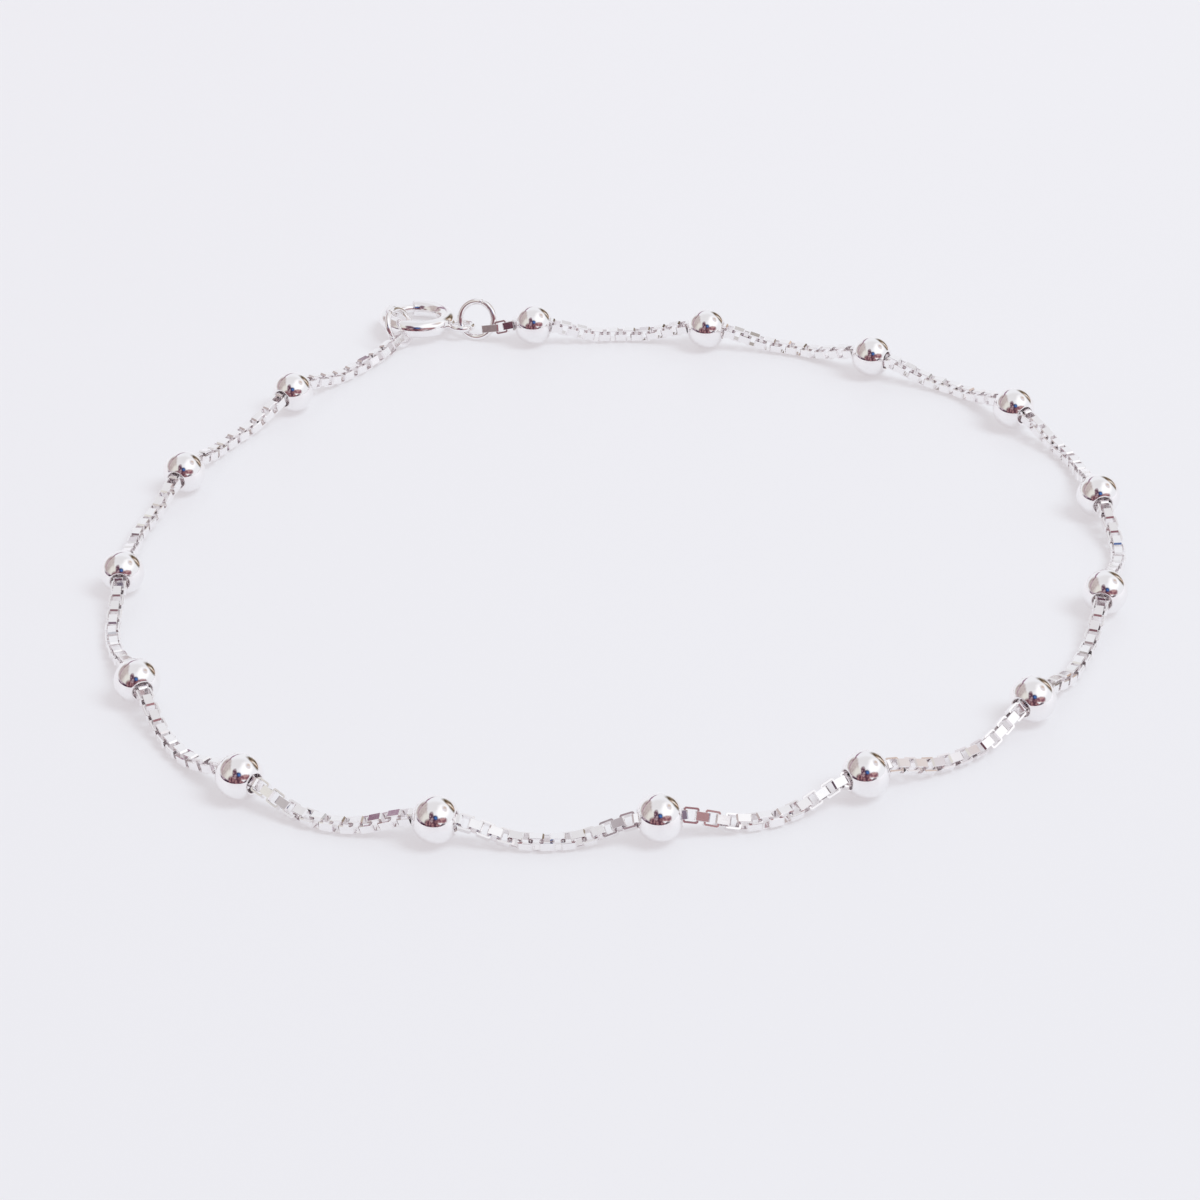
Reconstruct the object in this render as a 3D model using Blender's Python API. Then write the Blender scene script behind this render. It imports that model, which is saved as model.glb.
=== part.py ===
"""Silver bracelet: fifteen round beads on a fine box chain, closed by a spring-ring clasp.

Metres, +Z up. The bracelet lies as a loop on the plane z = 0, which its beads and the middle of
each run of chain touch. The front of the loop is towards -Y and the clasp is at the back.
"""

import math
from dataclasses import dataclass

import bmesh
import bpy
from mathutils import Matrix, Vector

# Beads: round balls drilled right through.
BEAD_DIAMETER = 0.0025
BEAD_BORE = 0.00104
BEAD_SIDES = 12
BEAD_BANDS = 6

# Box chain: each link is a square loop of flat strip, a quarter turn round from the next.
LINK_PITCH = 0.00054
LINK_WIDTH = 0.00084
STRIP_WIDTH = 0.00046
STRIP_THICKNESS = 0.00012
CORE_WIDTH = 0.00034

# How the chain hangs between two beads: it comes down to the surface within this length.
SAG_LENGTH = 0.0034
SAG_START_SLOPE = 0.8
CHAIN_GAP = 0.00002
JOIN_GAP = 0.0001

# Jump rings and the long last link that each one passes through.
JUMP_WIRE = 0.0004
JUMP_INSIDE = 0.0019
JUMP_LEAN_DEG = 25.0
JUMP_SEGMENTS = 16
JUMP_WIRE_SIDES = 6
END_LINK_PITCH = 0.00092
END_LINK_HEIGHT = 0.00078

# Spring-ring clasp, measured in its own plane, with angles from its eye.
CLASP_OUTSIDE = 0.005
CLASP_TUBE = 0.0011
CLASP_WALL = 0.00018
CLASP_TUBE_SIDES = 10
CLASP_STEP_DEG = 9.0
CLASP_X = -0.0122
CLASP_Y = 0.02700
CLASP_EYE_HEADING_DEG = -20.0
CLASP_HOOK_HEADING_DEG = 242.0
EYE_WIRE = 0.0004
EYE_INSIDE = 0.001
EYE_SINK = 0.00012
GAP_START_DEG = 120.0
GAP_LENGTH = 0.0016
SOCKET_DEPTH = 0.0003

# Sprung bolt that closes the clasp, with a thumb knob that runs in a slot.
BOLT_CLEARANCE = 0.00006
BOLT_TAIL_LENGTH = 0.0008
BOLT_TRAVEL_SPARE_DEG = 2.0
KNOB_WIDTH = 0.0005
KNOB_THICKNESS = 0.0004
KNOB_HEIGHT = 0.00045
KNOB_BRIDGE = 0.0004
SLOT_CLEARANCE = 0.00007

# Tube and wire places inside the ring that links the clasp to the chain's left end.
HOOK_INWARD = 0.0002
HOOK_BELOW = 0.00015

WORLD_UP = Vector((0.0, 0.0, 1.0))


@dataclass(frozen=True)
class RouteBead:
    """One bead of the loop: its name, place, and how the chain rolls and bulges beside it."""

    name: str
    x: float
    y: float
    roll_before_deg: float = 0.0
    roll_after_deg: float = 0.0
    bulge_after: float = 0.0003
    run_roll_after_deg: float = 0.0


# The loop from the clasp's left end round the front to its right end.
ROUTE = [
    RouteBead("bead_01", -0.01963, 0.01695),
    RouteBead("bead_02", -0.02552, 0.00751),
    RouteBead("bead_03", -0.02800, -0.00360),
    RouteBead("bead_04", -0.02599, -0.01469, 0.0, 0.0, 0.0001),
    RouteBead("bead_05", -0.01978, -0.02381, 0.0, 40.0, 0.0003),
    RouteBead("bead_06", -0.00965, -0.02814, 6.0, 34.0, 0.0003),
    RouteBead("bead_07", 0.00152, -0.02870, 36.0, 54.0, 0.0004),
    RouteBead("bead_08", 0.01207, -0.02571, 40.0, 30.0, 0.0003, 32.0),
    RouteBead("bead_09", 0.02137, -0.01964, 44.0, 0.0, 0.0),
    RouteBead("bead_10", 0.02676, -0.00962),
    RouteBead("bead_11", 0.02800, 0.00064),
    RouteBead("bead_12", 0.02454, 0.01131),
    RouteBead("bead_13", 0.01661, 0.01866),
    RouteBead("bead_14", 0.00647, 0.02322),
    RouteBead("bead_15", -0.00461, 0.02470),
]
SPLIT_BEAD = 7

# The chain's roll beside a bead eases off within this length, slowly at first.
ROLL_EASE_LENGTH = 0.0038
ROLL_EASE_POWER = 3
PATH_SAMPLES = 120

SILVER = (0.92, 0.91, 0.90, 1.0)


def clear_scene():
    """Remove every object of the open scene."""
    for old in list(bpy.data.objects):
        bpy.data.objects.remove(old, do_unlink=True)


def metal(name, colour, roughness):
    """A metallic material of one colour and roughness."""
    material = bpy.data.materials.new(name)
    material.use_nodes = True
    shader = material.node_tree.nodes["Principled BSDF"]
    shader.inputs["Base Color"].default_value = colour
    shader.inputs["Metallic"].default_value = 1.0
    shader.inputs["Roughness"].default_value = roughness
    return material


def add_object(name, mesh, material, place=None):
    """Put a mesh in the scene under a node's name."""
    item = bpy.data.objects.new(name, mesh)
    if material is not None:
        mesh.materials.clear()
        mesh.materials.append(material)
    if place is not None:
        item.matrix_world = place
    bpy.context.scene.collection.objects.link(item)
    return item


def mesh_from_faces(name, points, faces, smooth):
    """A closed mesh whose faces all point outwards."""
    body = bmesh.new()
    corners = [body.verts.new(point) for point in points]
    for face in faces:
        body.faces.new([corners[index] for index in face])
    bmesh.ops.recalc_face_normals(body, faces=body.faces)
    mesh = bpy.data.meshes.new(name)
    body.to_mesh(mesh)
    body.free()
    if smooth:
        mesh.shade_smooth()
        mesh.set_sharp_from_angle(angle=math.radians(40.0))
    return mesh


def stitched_rings(ring_count, side_count, closed):
    """Quads between rings of points that follow one another, with end caps when open."""
    faces = []
    for ring in range(ring_count if closed else ring_count - 1):
        after = (ring + 1) % ring_count
        for side in range(side_count):
            turned = (side + 1) % side_count
            faces.append((
                ring * side_count + side,
                ring * side_count + turned,
                after * side_count + turned,
                after * side_count + side,
            ))
    if not closed:
        last = (ring_count - 1) * side_count
        faces.append(tuple(reversed(range(side_count))))
        faces.append(tuple(range(last, last + side_count)))
    return faces


def bead_half_length():
    """Half of a bead's length along its hole, where the bore meets the ball."""
    return math.sqrt((BEAD_DIAMETER / 2) ** 2 - (BEAD_BORE / 2) ** 2)


def bead_mesh():
    """A ball with a hole along X."""
    radius = BEAD_DIAMETER / 2
    first = math.asin(BEAD_BORE / BEAD_DIAMETER)
    profile = []
    for band in range(BEAD_BANDS + 1):
        angle = first + (math.pi - 2 * first) * band / BEAD_BANDS
        profile.append((-radius * math.cos(angle), radius * math.sin(angle)))
    points = []
    for along, out in profile:
        for side in range(BEAD_SIDES):
            turn = 2 * math.pi * side / BEAD_SIDES
            points.append((along, out * math.cos(turn), out * math.sin(turn)))
    return mesh_from_faces("bead", points, stitched_rings(len(profile), BEAD_SIDES, True), True)


def heading(degrees):
    """The level direction at an angle from +X."""
    turn = math.radians(degrees)
    return Vector((math.cos(turn), math.sin(turn), 0.0))


def leaned_up(direction, roll_deg):
    """The upward normal of a direction, turned about it by a roll."""
    level = direction.normalized()
    up = (WORLD_UP - level * WORLD_UP.dot(level)).normalized()
    return Matrix.Rotation(math.radians(roll_deg), 3, level) @ up


def clasp_radius():
    """Radius of the middle line of the clasp's tube."""
    return (CLASP_OUTSIDE - CLASP_TUBE) / 2


def jump_radius():
    """Radius of the middle line of a jump ring's wire."""
    return (JUMP_INSIDE + JUMP_WIRE) / 2


def jump_centre_height():
    """Height at which a leaning jump ring just stands on the surface."""
    return jump_radius() * math.cos(math.radians(JUMP_LEAN_DEG)) + JUMP_WIRE / 2


def hook_height():
    """Height of the clasp's tube where the left jump ring holds it."""
    return jump_centre_height() - HOOK_BELOW * math.cos(math.radians(JUMP_LEAN_DEG))


def clasp_place():
    """The clasp's own frame: X to its eye, Z its axis, raised where the jump ring holds it."""
    rise = (hook_height() - CLASP_TUBE / 2) / 2
    tilt = math.asin(rise / clasp_radius())
    raised = heading(CLASP_HOOK_HEADING_DEG)
    tilt_axis = raised.cross(WORLD_UP)
    centre = Vector((CLASP_X, CLASP_Y, CLASP_TUBE / 2 + rise))
    lean = Matrix.Rotation(tilt, 4, tilt_axis)
    turn = Matrix.Rotation(math.radians(CLASP_EYE_HEADING_DEG), 4, "Z")
    return Matrix.Translation(centre) @ lean @ turn


def eye_offset():
    """Distance of the eye's centre from the clasp's."""
    return clasp_radius() + CLASP_TUBE / 2 - EYE_SINK + (EYE_INSIDE + EYE_WIRE) / 2


@dataclass
class RingSeat:
    """Where a jump ring lies: its centre, and the level and leaning directions of its plane."""

    centre: Vector
    along: Vector
    upward: Vector

    def wire_at(self, height):
        """The point on the ring's wire, on the chain's side, at a height over the surface."""
        drop = (height - self.centre.z) / self.upward.z
        reach = math.sqrt(jump_radius() ** 2 - drop ** 2)
        return self.centre + self.along * reach + self.upward * drop


def left_ring_seat():
    """The jump ring round the clasp's tube, whose other side holds the chain's left end."""
    along = heading(CLASP_HOOK_HEADING_DEG)
    upward = leaned_up(along, JUMP_LEAN_DEG)
    tube = Vector((CLASP_X, CLASP_Y, 0.0)) + along * clasp_radius()
    tube.z = hook_height()
    return RingSeat(tube + along * HOOK_INWARD + upward * HOOK_BELOW, along, upward)


def right_ring_seat():
    """The jump ring through the clasp's eye, whose other side holds the chain's right end."""
    eye = clasp_place() @ Vector((eye_offset(), 0.0, 0.0))
    along = heading(CLASP_EYE_HEADING_DEG)
    upward = leaned_up(-along, JUMP_LEAN_DEG)
    drop = (eye.z - jump_centre_height()) / upward.z
    reach = math.sqrt(jump_radius() ** 2 - drop ** 2)
    return RingSeat(eye + along * reach - upward * drop, along, upward)


def wire_ring(name, seat, material):
    """A closed round ring of round wire."""
    points = []
    for segment in range(JUMP_SEGMENTS):
        turn = 2 * math.pi * segment / JUMP_SEGMENTS
        out = seat.along * math.cos(turn) + seat.upward * math.sin(turn)
        across = seat.along.cross(seat.upward)
        for side in range(JUMP_WIRE_SIDES):
            round_wire = 2 * math.pi * side / JUMP_WIRE_SIDES
            offset = out * math.cos(round_wire) + across * math.sin(round_wire)
            points.append(out * jump_radius() + offset * (JUMP_WIRE / 2))
    faces = stitched_rings(JUMP_SEGMENTS, JUMP_WIRE_SIDES, True)
    mesh = mesh_from_faces(name, points, faces, True)
    return add_object(name, mesh, material, Matrix.Translation(seat.centre))


def rolled_half_height(roll_deg):
    """Height of the chain's middle line over the surface when it lies there with a roll."""
    roll = abs(math.radians(roll_deg))
    return LINK_WIDTH / 2 * math.cos(roll) + STRIP_WIDTH / 2 * math.sin(roll)


@dataclass
class Station:
    """One frame on the chain's middle line."""

    point: Vector
    forward: Vector
    upward: Vector

    @property
    def sideways(self):
        """The third direction of the frame."""
        return self.forward.cross(self.upward)


@dataclass
class Reach:
    """One visible stretch of chain, from where it leaves one thing to where it meets the next."""

    start: Vector
    start_direction: Vector
    finish: Vector
    finish_direction: Vector
    start_roll_deg: float
    finish_roll_deg: float
    run_roll_deg: float
    bulge: float

    def lowest(self):
        """Height of the middle line where the stretch is lowest."""
        if self.chord() < 2 * SAG_LENGTH:
            return min(self.start.z, self.finish.z)
        return LINK_WIDTH / 2

    def chord(self):
        """Level distance from end to end."""
        return (self.finish - self.start).to_2d().length

    def sag_length(self):
        """Length within which the chain comes down from an end."""
        return min(SAG_LENGTH, self.chord())

    def fall(self, distance):
        """Share of an end's height that is left at a distance from it."""
        share = min(distance / self.sag_length(), 1.0)
        return (1.0 - share) ** 2 * (1.0 + (2.0 - SAG_START_SLOPE) * share)

    def point_at(self, share):
        """The middle line's point at a share of the stretch."""
        chord = self.chord()
        two, three = share * share, share * share * share
        plan = (
            self.start * (2 * three - 3 * two + 1)
            + self.start_direction * chord * (three - 2 * two + share)
            + self.finish * (3 * two - 2 * three)
            + self.finish_direction * chord * (three - two)
        )
        outward = (self.finish - self.start).cross(WORLD_UP).normalized()
        plan += outward * self.bulge * math.sin(math.pi * share) ** 2
        low = self.lowest()
        plan.z = (
            low
            + (self.start.z - low) * self.fall(share * chord)
            + (self.finish.z - low) * self.fall((1.0 - share) * chord)
        )
        return plan

    def roll_at(self, from_start, from_finish):
        """Roll of the chain at a distance from either end."""
        near_start = 1.0 - min(from_start / ROLL_EASE_LENGTH, 1.0) ** ROLL_EASE_POWER
        near_finish = 1.0 - min(from_finish / ROLL_EASE_LENGTH, 1.0) ** ROLL_EASE_POWER
        start_turn = (self.start_roll_deg - self.run_roll_deg) * near_start
        finish_turn = (self.finish_roll_deg - self.run_roll_deg) * near_finish
        return self.run_roll_deg + start_turn + finish_turn

    def stations(self, marks):
        """Frames at lengths along the middle line, given as shares of its whole length."""
        line = [self.point_at(index / PATH_SAMPLES) for index in range(PATH_SAMPLES + 1)]
        lengths = [0.0]
        for before, after in zip(line, line[1:]):
            lengths.append(lengths[-1] + (after - before).length)
        found = []
        for mark in marks:
            target = mark * lengths[-1]
            index = 0
            while index < PATH_SAMPLES - 1 and lengths[index + 1] < target:
                index += 1
            step = lengths[index + 1] - lengths[index]
            part = (target - lengths[index]) / step
            point = line[index].lerp(line[index + 1], part)
            forward = (line[index + 1] - line[index]).normalized()
            roll = self.roll_at(target, lengths[-1] - target)
            dip = abs(forward.z) * (LINK_PITCH / 2 + STRIP_THICKNESS)
            point.z = max(point.z, rolled_half_height(roll) + dip)
            found.append(Station(point, forward, leaned_up(forward, roll)))
        return found

    def length(self):
        """Length of the middle line."""
        line = [self.point_at(index / PATH_SAMPLES) for index in range(PATH_SAMPLES + 1)]
        return sum((after - before).length for before, after in zip(line, line[1:]))


def bead_centre(index):
    """A bead's centre, at its own radius over the surface."""
    return Vector((ROUTE[index].x, ROUTE[index].y, BEAD_DIAMETER / 2))


def left_end_wire():
    """The left jump ring's wire inside the chain's first link."""
    return left_ring_seat().wire_at(END_LINK_HEIGHT)


def right_end_wire():
    """The right jump ring's wire inside the chain's last link."""
    return right_ring_seat().wire_at(END_LINK_HEIGHT)


def bead_direction(index):
    """The level direction of a bead's hole, along the loop."""
    before = bead_centre(index - 1) if index > 0 else left_end_wire()
    after = bead_centre(index + 1) if index + 1 < len(ROUTE) else right_end_wire()
    along = after - before
    along.z = 0.0
    return along.normalized()


def reach_before(index):
    """The stretch of chain that arrives at a bead; past the last bead, the one to the clasp."""
    mouth = bead_half_length() + CHAIN_GAP + STRIP_THICKNESS
    wire_room = (END_LINK_PITCH - STRIP_THICKNESS) / 2
    if index == 0:
        start_direction = left_ring_seat().along
        start = left_end_wire() - start_direction * wire_room
        start_roll = JUMP_LEAN_DEG
        run_roll = 0.0
        bulge = 0.0
    else:
        start_direction = bead_direction(index - 1)
        start = bead_centre(index - 1) + start_direction * mouth
        start_roll = ROUTE[index - 1].roll_after_deg
        run_roll = ROUTE[index - 1].run_roll_after_deg
        bulge = ROUTE[index - 1].bulge_after
    if index == len(ROUTE):
        finish_direction = -right_ring_seat().along
        finish = right_end_wire() + finish_direction * wire_room
        finish_roll = JUMP_LEAN_DEG
        bulge = 0.0
    else:
        finish_direction = bead_direction(index)
        finish = bead_centre(index) - finish_direction * mouth
        finish_roll = ROUTE[index].roll_before_deg
    return Reach(
        start, start_direction, finish, finish_direction, start_roll, finish_roll, run_roll, bulge
    )


class ChainSkin:
    """The fused outside of a run of interlocking links, gathered as points and faces."""

    def __init__(self):
        """Start with nothing."""
        self.points = []
        self.faces = []

    def corner(self, station, along, sideways, upward):
        """Add a point of a frame and give its number."""
        self.points.append(
            station.point
            + station.forward * along
            + station.sideways * sideways
            + station.upward * upward
        )
        return len(self.points) - 1

    def square(self, station, half, along=0.0):
        """Four corners round a frame's middle, keyed by their signs."""
        return {
            (side, up): self.corner(station, along, side * half, up * half)
            for side in (-1, 1)
            for up in (-1, 1)
        }

    def box_corners(self, station, half_length, half_width, level):
        """Eight corners of a link's loop, keyed by end, side across and side of the strip."""
        half_strip = STRIP_WIDTH / 2
        found = {}
        for end in (-1, 1):
            for across in (-1, 1):
                for strip in (-1, 1):
                    place = (across * half_width, strip * half_strip)
                    side, up = place if level else (place[1], place[0])
                    found[end, across, strip] = self.corner(station, end * half_length, side, up)
        return found

    def touched(self, contact, across, strip, level):
        """The corner of a contact square on a link's side."""
        return contact[across, strip] if level else contact[strip, across]

    def end_faces(self, end, outer, inner, contact, core, level):
        """The faces of one end of a link, around what it touches inside and outside."""
        for strip in (-1, 1):
            low, high = outer[end, -1, strip], outer[end, 1, strip]
            inner_low, inner_high = inner[end, -1, strip], inner[end, 1, strip]
            if contact is None:
                self.faces.append((low, high, inner_high, inner_low))
                continue
            touch_low = self.touched(contact, -1, strip, level)
            touch_high = self.touched(contact, 1, strip, level)
            self.faces.append((low, touch_low, inner_low))
            self.faces.append((low, high, touch_high, touch_low))
            self.faces.append((high, inner_high, touch_high))
        if contact is None:
            self.faces.append(tuple(inner[end, a, s] for a, s in ((-1, -1), (1, -1), (1, 1), (-1, 1))))
        else:
            for across in (-1, 1):
                self.faces.append((
                    inner[end, across, -1],
                    self.touched(contact, across, -1, level),
                    self.touched(contact, across, 1, level),
                    inner[end, across, 1],
                ))
        rim = [outer[end, a, s] for a, s in ((-1, -1), (1, -1), (1, 1), (-1, 1))]
        if core is None:
            self.faces.append(tuple(rim))
            return
        ring = [self.touched(core, a, s, level) for a, s in ((-1, -1), (1, -1), (1, 1), (-1, 1))]
        for index in range(4):
            after = (index + 1) % 4
            self.faces.append((rim[index], rim[after], ring[after], ring[index]))

    def link(self, middle, pitch, level, before, after, core_before, core_after):
        """One square link, joined to its neighbours by what they touch."""
        outer = self.box_corners(middle, pitch / 2 + STRIP_THICKNESS, LINK_WIDTH / 2, level)
        inside = LINK_WIDTH / 2 - STRIP_THICKNESS
        inner = self.box_corners(middle, pitch / 2, inside, level)
        self.end_faces(-1, outer, inner, before, core_before, level)
        self.end_faces(1, outer, inner, after, core_after, level)
        for across in (-1, 1):
            for loop in (outer, inner):
                self.faces.append((
                    loop[-1, across, -1],
                    loop[1, across, -1],
                    loop[1, across, 1],
                    loop[-1, across, 1],
                ))
            for strip in (-1, 1):
                self.faces.append((
                    outer[-1, across, strip],
                    outer[1, across, strip],
                    inner[1, across, strip],
                    inner[-1, across, strip],
                ))

    def reach(self, stretch, core_before, core_after, long_first, long_last):
        """Links along one stretch, the end one longer where a jump ring passes through it."""
        length = stretch.length()
        spare = END_LINK_PITCH - LINK_PITCH
        plain_length = length - spare * (int(long_first) + int(long_last))
        count = max(2, round(plain_length / LINK_PITCH))
        if count % 2 == 0 and (long_first or long_last):
            count += 1
        pitch = plain_length / count
        pitches = [pitch] * count
        if long_first:
            pitches[0] += spare
        if long_last:
            pitches[-1] += spare
        ends = [0.0]
        for step in pitches:
            ends.append(ends[-1] + step)
        joints = stretch.stations([end / length for end in ends[1:-1]])
        middles = stretch.stations([(a + b) / 2 / length for a, b in zip(ends, ends[1:])])
        contacts = [self.square(joint, STRIP_WIDTH / 2) for joint in joints]
        for index, middle in enumerate(middles):
            level = index % 2 == 0 if not long_last else (count - 1 - index) % 2 == 0
            self.link(
                middle,
                pitches[index],
                level,
                contacts[index - 1] if index > 0 else None,
                contacts[index] if index < count - 1 else None,
                core_before if index == 0 else None,
                core_after if index == count - 1 else None,
            )
        return count

    def core_walls(self, entry, exit_square):
        """The four sides of the plain core that fills a bead's hole."""
        around = ((-1, -1), (1, -1), (1, 1), (-1, 1))
        for index in range(4):
            a, b = around[index], around[(index + 1) % 4]
            self.faces.append((entry[a], entry[b], exit_square[b], exit_square[a]))

    def cap(self, square):
        """Close the end of a core."""
        self.faces.append(tuple(square[key] for key in ((-1, -1), (1, -1), (1, 1), (-1, 1))))


def outer_face_station(stretch, at_finish):
    """The frame on the outer face of a stretch's first or last link."""
    count = max(2, round(stretch.length() / LINK_PITCH))
    share = 1.0 - 0.5 / count if at_finish else 0.5 / count
    middle = stretch.stations([share])[0]
    reach = stretch.length() / count / 2 + STRIP_THICKNESS
    if not at_finish:
        reach = -reach
    return Station(middle.point + middle.forward * reach, middle.forward, middle.upward)


def chain_run(name, first, last, material):
    """A run of chain through the beads from first up to last, ended inside the split bead."""
    skin = ChainSkin()
    half = CORE_WIDTH / 2
    entry = None
    if first > 0:
        centre = bead_centre(first)
        split = Station(centre, bead_direction(first), WORLD_UP)
        entry = skin.square(split, half, JOIN_GAP / 2)
        skin.cap(entry)
    leave_index = first if first == 0 else first + 1
    for index in range(leave_index, last + 1):
        stretch = reach_before(index)
        before = None
        if entry is not None:
            before = skin.square(outer_face_station(stretch, False), half)
            skin.core_walls(entry, before)
        after = None
        if index < len(ROUTE):
            after = skin.square(outer_face_station(stretch, True), half)
        skin.reach(stretch, before, after, index == 0, index == len(ROUTE))
        entry = after
    if last < len(ROUTE):
        centre = bead_centre(last)
        split = Station(centre, bead_direction(last), WORLD_UP)
        finish = skin.square(split, half, -JOIN_GAP / 2)
        skin.core_walls(entry, finish)
        skin.cap(finish)
    mesh = mesh_from_faces(name, skin.points, skin.faces, False)
    return add_object(name, mesh, material)


def arc_degrees(length):
    """The angle at the clasp's middle line that spans a length."""
    return math.degrees(length / clasp_radius())


def tube_arc(name, start_deg, finish_deg, half_out, half_up, sides, square):
    """A solid bent along the clasp's ring, round or square in section."""
    count = max(1, math.ceil(abs(finish_deg - start_deg) / CLASP_STEP_DEG))
    points = []
    for index in range(count + 1):
        turn = math.radians(start_deg + (finish_deg - start_deg) * index / count)
        out = Vector((math.cos(turn), math.sin(turn), 0.0))
        for side in range(sides):
            if square:
                low_out, high_out = half_out
                away = high_out if side in (1, 2) else low_out
                up = half_up if side in (2, 3) else -half_up
            else:
                round_tube = 2 * math.pi * (side + 0.5) / sides
                away = half_out * math.cos(round_tube)
                up = half_up * math.sin(round_tube)
            points.append(out * (clasp_radius() + away) + WORLD_UP * up)
    return mesh_from_faces(name, points, stitched_rings(count + 1, sides, False), not square)


def boolean(target, tool, operation):
    """Cut or join a target with a tool that stays out of the model."""
    tool.hide_render = True
    tool.display_type = "WIRE"
    modifier = target.modifiers.new(tool.name, "BOOLEAN")
    modifier.object = tool
    modifier.operation = operation
    modifier.solver = "EXACT"


@dataclass(frozen=True)
class ClaspAngles:
    """Angles of the clasp's parts round its ring, from its eye, in degrees."""

    gap_start: float
    gap_finish: float
    bolt_tip: float
    travel: float
    knob: float
    bolt_tail: float


def clasp_angles():
    """Work out the clasp's angles from its lengths."""
    gap_finish = GAP_START_DEG + arc_degrees(GAP_LENGTH)
    bolt_tip = gap_finish + arc_degrees(SOCKET_DEPTH - BOLT_CLEARANCE)
    travel = bolt_tip - GAP_START_DEG + BOLT_TRAVEL_SPARE_DEG
    knob = GAP_START_DEG - arc_degrees(KNOB_BRIDGE + SLOT_CLEARANCE + KNOB_WIDTH / 2)
    bolt_tail = knob - arc_degrees(BOLT_TAIL_LENGTH)
    return ClaspAngles(GAP_START_DEG, gap_finish, bolt_tip, travel, knob, bolt_tail)


def make_clasp_ring(material):
    """The C-shaped tube with its bore, slot, socket and soldered eye."""
    angles = clasp_angles()
    place = clasp_place()
    tube = CLASP_TUBE / 2
    bore = tube - CLASP_WALL
    sides = CLASP_TUBE_SIDES
    body_mesh = tube_arc("clasp_body", angles.gap_finish, GAP_START_DEG + 360.0, tube, tube, sides, False)
    body = add_object("clasp_ring", body_mesh, material, place)
    bore_start = angles.bolt_tail - angles.travel - arc_degrees(BOLT_CLEARANCE)
    past_end = arc_degrees(CLASP_WALL)
    bore_mesh = tube_arc("bore", bore_start, GAP_START_DEG + past_end, bore, bore, sides, False)
    boolean(body, add_object("cut_bore", bore_mesh, None, place), "DIFFERENCE")
    socket_mesh = tube_arc(
        "socket", angles.gap_finish - past_end, angles.gap_finish + arc_degrees(SOCKET_DEPTH),
        bore, bore, sides, False,
    )
    boolean(body, add_object("cut_socket", socket_mesh, None, place), "DIFFERENCE")
    half_knob = arc_degrees(KNOB_WIDTH / 2 + SLOT_CLEARANCE)
    slot_mesh = tube_arc(
        "slot", angles.knob - angles.travel - half_knob, angles.knob + half_knob,
        (0.0, tube + CLASP_WALL), KNOB_THICKNESS / 2 + SLOT_CLEARANCE, 4, True,
    )
    boolean(body, add_object("cut_slot", slot_mesh, None, place), "DIFFERENCE")
    boolean(body, make_eye(place), "UNION")
    return body


def make_eye(place):
    """The small ring soldered to the outside of the clasp, as a tool for its join."""
    middle = (EYE_INSIDE + EYE_WIRE) / 2
    points = []
    for segment in range(JUMP_SEGMENTS):
        turn = 2 * math.pi * (segment + 0.5) / JUMP_SEGMENTS
        out = Vector((math.cos(turn), math.sin(turn), 0.0))
        for side in range(JUMP_WIRE_SIDES):
            round_wire = 2 * math.pi * side / JUMP_WIRE_SIDES
            offset = out * math.cos(round_wire) + WORLD_UP * math.sin(round_wire)
            centre = Vector((eye_offset(), 0.0, 0.0))
            points.append(centre + out * middle + offset * (EYE_WIRE / 2))
    faces = stitched_rings(JUMP_SEGMENTS, JUMP_WIRE_SIDES, True)
    return add_object("join_eye", mesh_from_faces("eye", points, faces, True), None, place)


def make_clasp_bolt(material):
    """The curved sprung bolt with its thumb knob, turning about the clasp's axis."""
    angles = clasp_angles()
    place = clasp_place()
    half = CLASP_TUBE / 2 - CLASP_WALL - BOLT_CLEARANCE
    rod_mesh = tube_arc(
        "bolt_rod", angles.bolt_tail, angles.bolt_tip, half, half, CLASP_TUBE_SIDES, False,
    )
    bolt = add_object("clasp_bolt", rod_mesh, material, place)
    half_knob = arc_degrees(KNOB_WIDTH / 2)
    knob_mesh = tube_arc(
        "knob", angles.knob - half_knob, angles.knob + half_knob,
        (0.0, CLASP_TUBE / 2 + KNOB_HEIGHT), KNOB_THICKNESS / 2, 4, True,
    )
    boolean(bolt, add_object("join_knob", knob_mesh, None, place), "UNION")
    return bolt


def make_beads(material):
    """Every bead of the loop, each with its hole along the chain."""
    mesh = bead_mesh()
    for index, spot in enumerate(ROUTE):
        along = bead_direction(index)
        across = WORLD_UP.cross(along)
        turn = Matrix((along, across, WORLD_UP)).transposed().to_4x4()
        place = Matrix.Translation(bead_centre(index)) @ turn
        add_object(spot.name, mesh, material, place)


def main():
    """Build the bracelet."""
    clear_scene()
    make_beads(metal("bead_silver", SILVER, 0.06))
    chain_silver = metal("chain_silver", SILVER, 0.12)
    chain_run("chain_left", 0, SPLIT_BEAD, chain_silver)
    chain_run("chain_right", SPLIT_BEAD, len(ROUTE), chain_silver)
    clasp_silver = metal("clasp_silver", SILVER, 0.1)
    wire_ring("jump_ring_left", left_ring_seat(), clasp_silver)
    wire_ring("jump_ring_right", right_ring_seat(), clasp_silver)
    make_clasp_ring(clasp_silver)
    make_clasp_bolt(metal("bolt_silver", SILVER, 0.1))


main()
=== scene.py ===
"""Looks of the silver bracelet: polished drilled balls on a fine box chain with a spring-ring clasp.

Everything is in metres, +Z up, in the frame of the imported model. The bracelet lies on the plane z = 0,
the front of its loop towards -Y and its clasp at the back.
"""

import logging
import math
from dataclasses import dataclass, field
from enum import Enum
from typing import Sequence

import bmesh
import bpy
from mathutils import Matrix, Vector


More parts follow.
